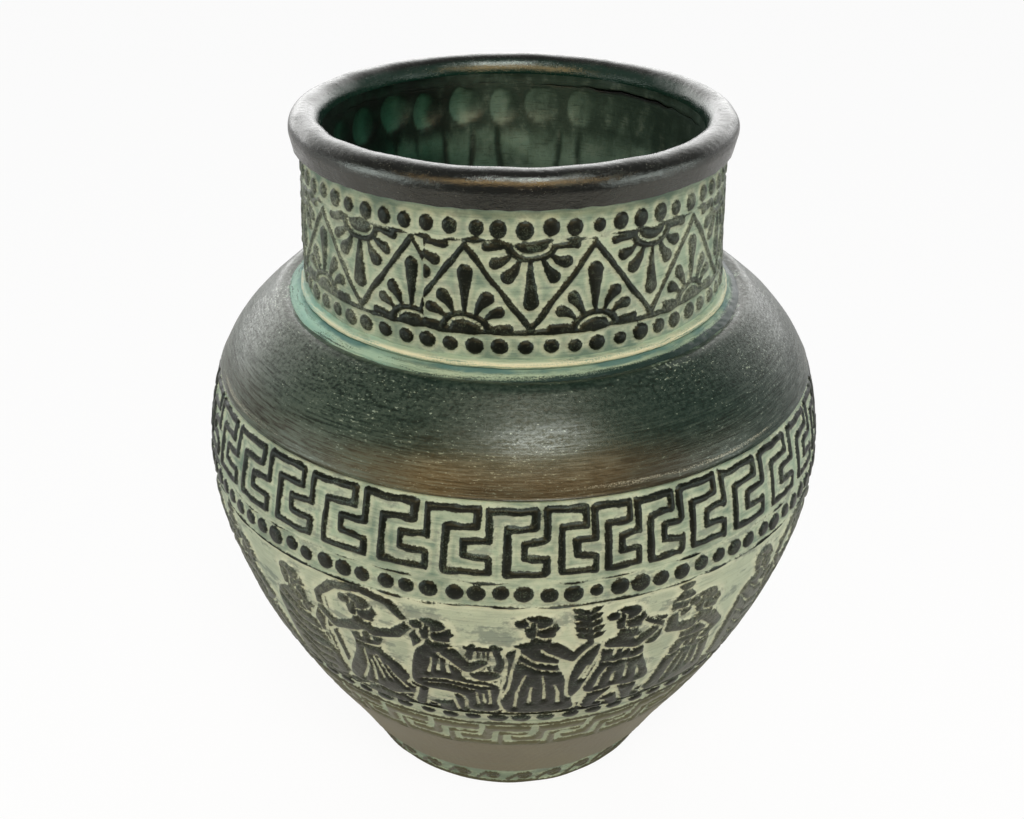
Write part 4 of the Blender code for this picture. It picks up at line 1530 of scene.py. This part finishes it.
def floor_disc(inner, clay):
    """Floor: a disc with the rings of the potter's wheel on top, and a bare underside."""
    top_radius = (body_outline(FLOOR_TOP)[0] - FOOT_WALL - FLOOR_GAP) * MM
    bottom_radius = (BODY_STATIONS[0, 1] - FOOT_WALL - FLOOR_GAP) * MM
    bpy.ops.object.select_all(action="DESELECT")
    bpy.ops.mesh.primitive_cone_add(
        vertices=FLOOR_CORNERS, radius1=bottom_radius, radius2=top_radius, depth=FLOOR_TOP * MM,
        location=(0, 0, FLOOR_TOP * MM / 2),
    )
    piece = bpy.context.object
    piece.name = "jar_floor"
    bpy.ops.object.transform_apply(location=True)
    for flat in (1, -1):
        bpy.ops.object.mode_set(mode="EDIT")
        bpy.ops.mesh.select_all(action="DESELECT")
        bpy.ops.object.mode_set(mode="OBJECT")
        for polygon in piece.data.polygons:
            polygon.select = polygon.normal.z * flat > NEARLY_FLAT
        bpy.ops.object.mode_set(mode="EDIT")
        for _ in range(FLOOR_RINGS):
            bpy.ops.mesh.inset(thickness=top_radius / (FLOOR_RINGS + 1))
        bpy.ops.object.mode_set(mode="OBJECT")
    mesh = piece.data
    for vertex in mesh.vertices:
        reach = math.hypot(vertex.co.x, vertex.co.y) / MM
        if vertex.co.z > FLOOR_TOP * MM / 2:
            turn = FLOOR_RIDGE_PACE * reach + math.atan2(vertex.co.x, vertex.co.y)
            vertex.co.z -= (FLOOR_DIP + FLOOR_RIDGE * math.sin(turn)) * MM
        elif reach < bottom_radius / MM - FLOOR_HOLLOW_EDGE:
            vertex.co.z += FLOOR_DIP * MM
    mesh.materials.append(inner)
    mesh.materials.append(clay)
    for polygon in mesh.polygons:
        polygon.material_index = 0 if polygon.normal.z > 0.5 else 1
    pad = mesh.attributes.new("pad", "FLOAT", "POINT")
    pad.data.foreach_set("value", np.full(len(mesh.vertices), FLOOR_PAD, np.float32))
    bpy.ops.object.shade_smooth_by_angle(angle=SHARP_ANGLE)
    set_in_frame(piece, "floor_disc")


def coil(name, node, section, inner, dabs, size):
    """Soft coil smeared over a joint, with the marks of the fingers that pressed it."""
    ring = Ring(name, section, COIL_STEPS)
    marks = size * np.abs(np.sin(0.5 * dabs * ring.angle)) ** 0.6 - size
    ring.store("pad", np.clip(1 + marks / size, 0, 1))
    ring.press(marks + waver(ring.angle, 0.12, (3, 30), seed=91))
    ring.finish(node, "inside_glaze", inner, inner)


def bulging(start, end, swell):
    """Run of points along a coil's free side, moved by the swell in its middle."""
    start, end = np.array(start), np.array(end)
    t = np.linspace(0, 1, COIL_POINTS)[:, None]
    return start + (end - start) * t + np.sin(math.pi * t) * np.array(swell)


def coils(inner):
    """Coils inside, over the joints of the floor, the belly and the neck."""
    corner = body_outline(FLOOR_TOP)[0] - FOOT_WALL - COIL_GAP
    base = FLOOR_TOP + FLOOR_GAP
    wall_side = (corner + FLOOR_COIL_LAP, FLOOR_TOP + FLOOR_COIL_HEIGHT)
    coil("floor_seam_coil", "floor_coil", Section(
        (JOINT, [(corner, base)]),
        (INSIDE, bulging((corner - FLOOR_COIL_WIDTH, base), wall_side, FLOOR_COIL_SWELL)),
    ), inner, dabs=40, size=0.5)
    low, high = wall_points([FRIEZE_TOP - BELLY_COIL_REACH, FRIEZE_TOP + BELLY_COIL_REACH], WALL + COIL_GAP)
    coil("belly_seam_coil", "belly_coil", Section(
        (JOINT, wall_points([FRIEZE_TOP], WALL + COIL_GAP)),
        (INSIDE, bulging(low, high, (-COIL_SWELL, 0.0))),
    ), inner, dabs=56, size=0.7)
    top = wall_points([NECK_SEAT], WALL)[0][1] - COIL_GAP
    outer, inmost = NECK_COIL_RADIUS + NECK_COIL_REACH, NECK_COIL_RADIUS - NECK_COIL_REACH
    coil("neck_seam_coil", "neck_coil", Section(
        (JOINT, [(NECK_COIL_RADIUS, top)]),
        (INSIDE, bulging((outer, top), (inmost, top), (0.0, -COIL_SWELL))),
    ), inner, dabs=38, size=0.6)


# Studio

# Soft boxes: name, place and size in metres, power, colour, and height of the point on the axis that it faces
SOFT_BOXES = (
    ("front_box", (0.0, -1.0, 0.70), (1.65, 0.38), 8.2, (1.0, 0.68, 0.33), 0.15),
    ("key_box", (0.14, -0.80, 1.22), (0.52, 0.36), 9.2, (0.94, 1.0, 1.0), 0.15),
    ("left_box", (-1.15, -0.50, 0.20), (0.9, 0.36), 5.0, (0.90, 1.0, 1.0), 0.12),
    ("right_box", (1.15, -0.50, 0.20), (0.9, 0.36), 4.5, (0.90, 1.0, 1.0), 0.12),
)
# Light of the room, of the white sweep behind the jar, and share of it that is missing on the right
ROOM = 0.22
SWEEP = 2.7
RIGHT_SHADE = 0.55
# Floor of the studio: size and front edge in metres, its grey, and how white the camera and the glazes see it
STAGE_SIZE = 8.0
STAGE_FRONT = 0.36
STAGE_GREY = (0.72, 0.72, 0.72, 1.0)
STAGE_WHITENESS = 0.93
STAGE_MIRRORED = 0.22
# Camera as fitted to the photograph: place and aim in metres, lens in millimetres, roll in degrees
CAMERA_PLACE = (0.0, -0.41205, 0.37074)
CAMERA_AIM = (0.0, 0.0, 0.13847)
CAMERA_LENS = 42.1875
CAMERA_ROLL = 0.42
CAMERA_SHIFT = -0.0007


def soft_box(name, place, size, power, colour, aim):
    """Rectangular soft light that points at the jar."""
    light = bpy.data.lights.new(name, "AREA")
    light.shape = "RECTANGLE"
    light.size, light.size_y = size
    light.energy = power
    light.color = colour
    lamp = bpy.data.objects.new(name, light)
    lamp.location = place
    lamp.rotation_euler = (Vector((0, 0, aim)) - Vector(place)).to_track_quat("-Z", "Y").to_euler()
    bpy.context.scene.collection.objects.link(lamp)


def studio_world():
    """White sweep behind the jar, in a darker room. The camera sees all of it white."""
    world = bpy.data.worlds.new("studio_sweep")
    bpy.context.scene.world = world
    world.use_nodes = True
    n = Nodes(world.node_tree)
    background = n.tree.nodes["Background"]
    direction = n.node("ShaderNodeTexCoord", output="Generated")
    back = n.node("ShaderNodeSeparateXYZ", None, {0: direction}, output=1)
    rise = n.node("ShaderNodeSeparateXYZ", None, {0: direction}, output=2)
    aside = n.node("ShaderNodeSeparateXYZ", None, {0: direction})
    shaded = 1 - n.ease(aside, 0.35, 0.95) * RIGHT_SHADE
    sweep = n.ease(back, 0.15, 0.85) * n.ease(rise, 0.95, 0.25) * shaded
    strength = ROOM + sweep * SWEEP
    seen = n.node("ShaderNodeLightPath", output="Is Camera Ray")
    n.feed(background.inputs["Strength"], n.node("ShaderNodeMix", None, {0: seen, 2: strength, 3: 1.0}))
    background.inputs["Color"].default_value = (1.0, 1.0, 1.0, 1.0)


def studio_floor():
    """Plain pale floor that keeps the jar's shadow and looks almost white to the camera."""
    bpy.ops.object.select_all(action="DESELECT")
    bpy.ops.mesh.primitive_plane_add(size=STAGE_SIZE, location=(0, STAGE_SIZE / 2 - STAGE_FRONT, 0))
    floor = bpy.context.object
    floor.name = "studio_floor"
    pale = Glaze("pale_floor")
    pale.done(colour=STAGE_GREY, roughness=0.9, specular=0.1)
    seen = pale.node("ShaderNodeLightPath", output="Is Camera Ray")
    mirrored = pale.node("ShaderNodeLightPath", output="Is Glossy Ray")
    white = pale.node("ShaderNodeEmission")
    lit = Wire(pale, pale.shader.outputs[0])
    share = seen * STAGE_WHITENESS + mirrored * STAGE_MIRRORED
    mixed = pale.node("ShaderNodeMixShader", None, {0: share, 1: lit, 2: white})
    pale.feed(pale.tree.nodes["Material Output"].inputs["Surface"], mixed)
    floor.data.materials.append(pale.material)


def studio_camera():
    """Camera at the photograph's place, turned slightly about its own axis."""
    data = bpy.data.cameras.new("jar_camera")
    data.lens = CAMERA_LENS
    data.sensor_width = 36.0
    data.shift_x = CAMERA_SHIFT
    data.clip_start = 0.01
    camera = bpy.data.objects.new("jar_camera", data)
    bpy.context.scene.collection.objects.link(camera)
    camera.location = CAMERA_PLACE
    look = (Vector(CAMERA_AIM) - Vector(CAMERA_PLACE)).to_track_quat("-Z", "Y").to_matrix().to_4x4()
    roll = Matrix.Rotation(math.radians(CAMERA_ROLL), 4, "Z")
    camera.rotation_euler = (look @ roll).to_euler()
    bpy.context.scene.camera = camera


def studio():
    """Camera, white sweep, floor and lights."""
    bpy.context.scene.view_settings.view_transform = "Standard"
    studio_camera()
    studio_world()
    studio_floor()
    for box in SOFT_BOXES:
        soft_box(*box)


def jar():
    """All the pieces of the jar, with their glazes."""
    inner = inside_glaze()
    clay = clay_underneath()
    # The neck's glaze carries painted sheen on the jar's two sides
    upper = relief_glaze("sage_and_black", smudges=0.40, pale=-0.08, wear_and_sheen=0.5)
    middle = relief_glaze("deep_sage_and_black", smudges=0.50, pale=-0.07)
    # The figures' glaze carries painted sheen on the jar's two sides
    figured = relief_glaze("sage_and_black_figures", smudges=0.6, pale=0.55, wear_and_sheen=0.25)
    lower = relief_glaze("sage_and_grey_brown", smudges=0.5, pale=0.18, fade=(72, 60), faded=0.92)
    waves = relief_glaze("worn_waves", smudges=0.8, pale=-0.4, fade=(30, 6), faded=0.6)
    body_ring("meander_strip", "meander_band", "relief_glaze", FRIEZE_TOP, SHOULDER_EDGE + MEANDER_LAP,
              meander_pattern, middle, inner, steps=1000, spacing=0.62)
    body_ring("figure_strip", "frieze_band", "relief_glaze", KEY_TOP, FRIEZE_TOP,
              frieze_pattern, figured, inner, steps=1020, spacing=0.76)
    body_ring("key_strip", "key_band", "relief_glaze", LOWER_WALL_TOP, KEY_TOP,
              key_pattern, lower, inner, steps=900, spacing=0.60)
    body_ring("plain_wall", "lower_wall", "plain_glaze", FOOT_TOP, LOWER_WALL_TOP,
              plain_pattern, lower_glaze(), inner, steps=600, spacing=1.0)
    shoulder(shoulder_glaze(), inner)
    neck_collar(upper, inner)
    fillet(fillet_glaze(), inner)
    rim(rim_glaze(), inner)
    foot(waves, inner, clay)
    floor_disc(inner, clay)
    coils(inner)


studio()
jar()
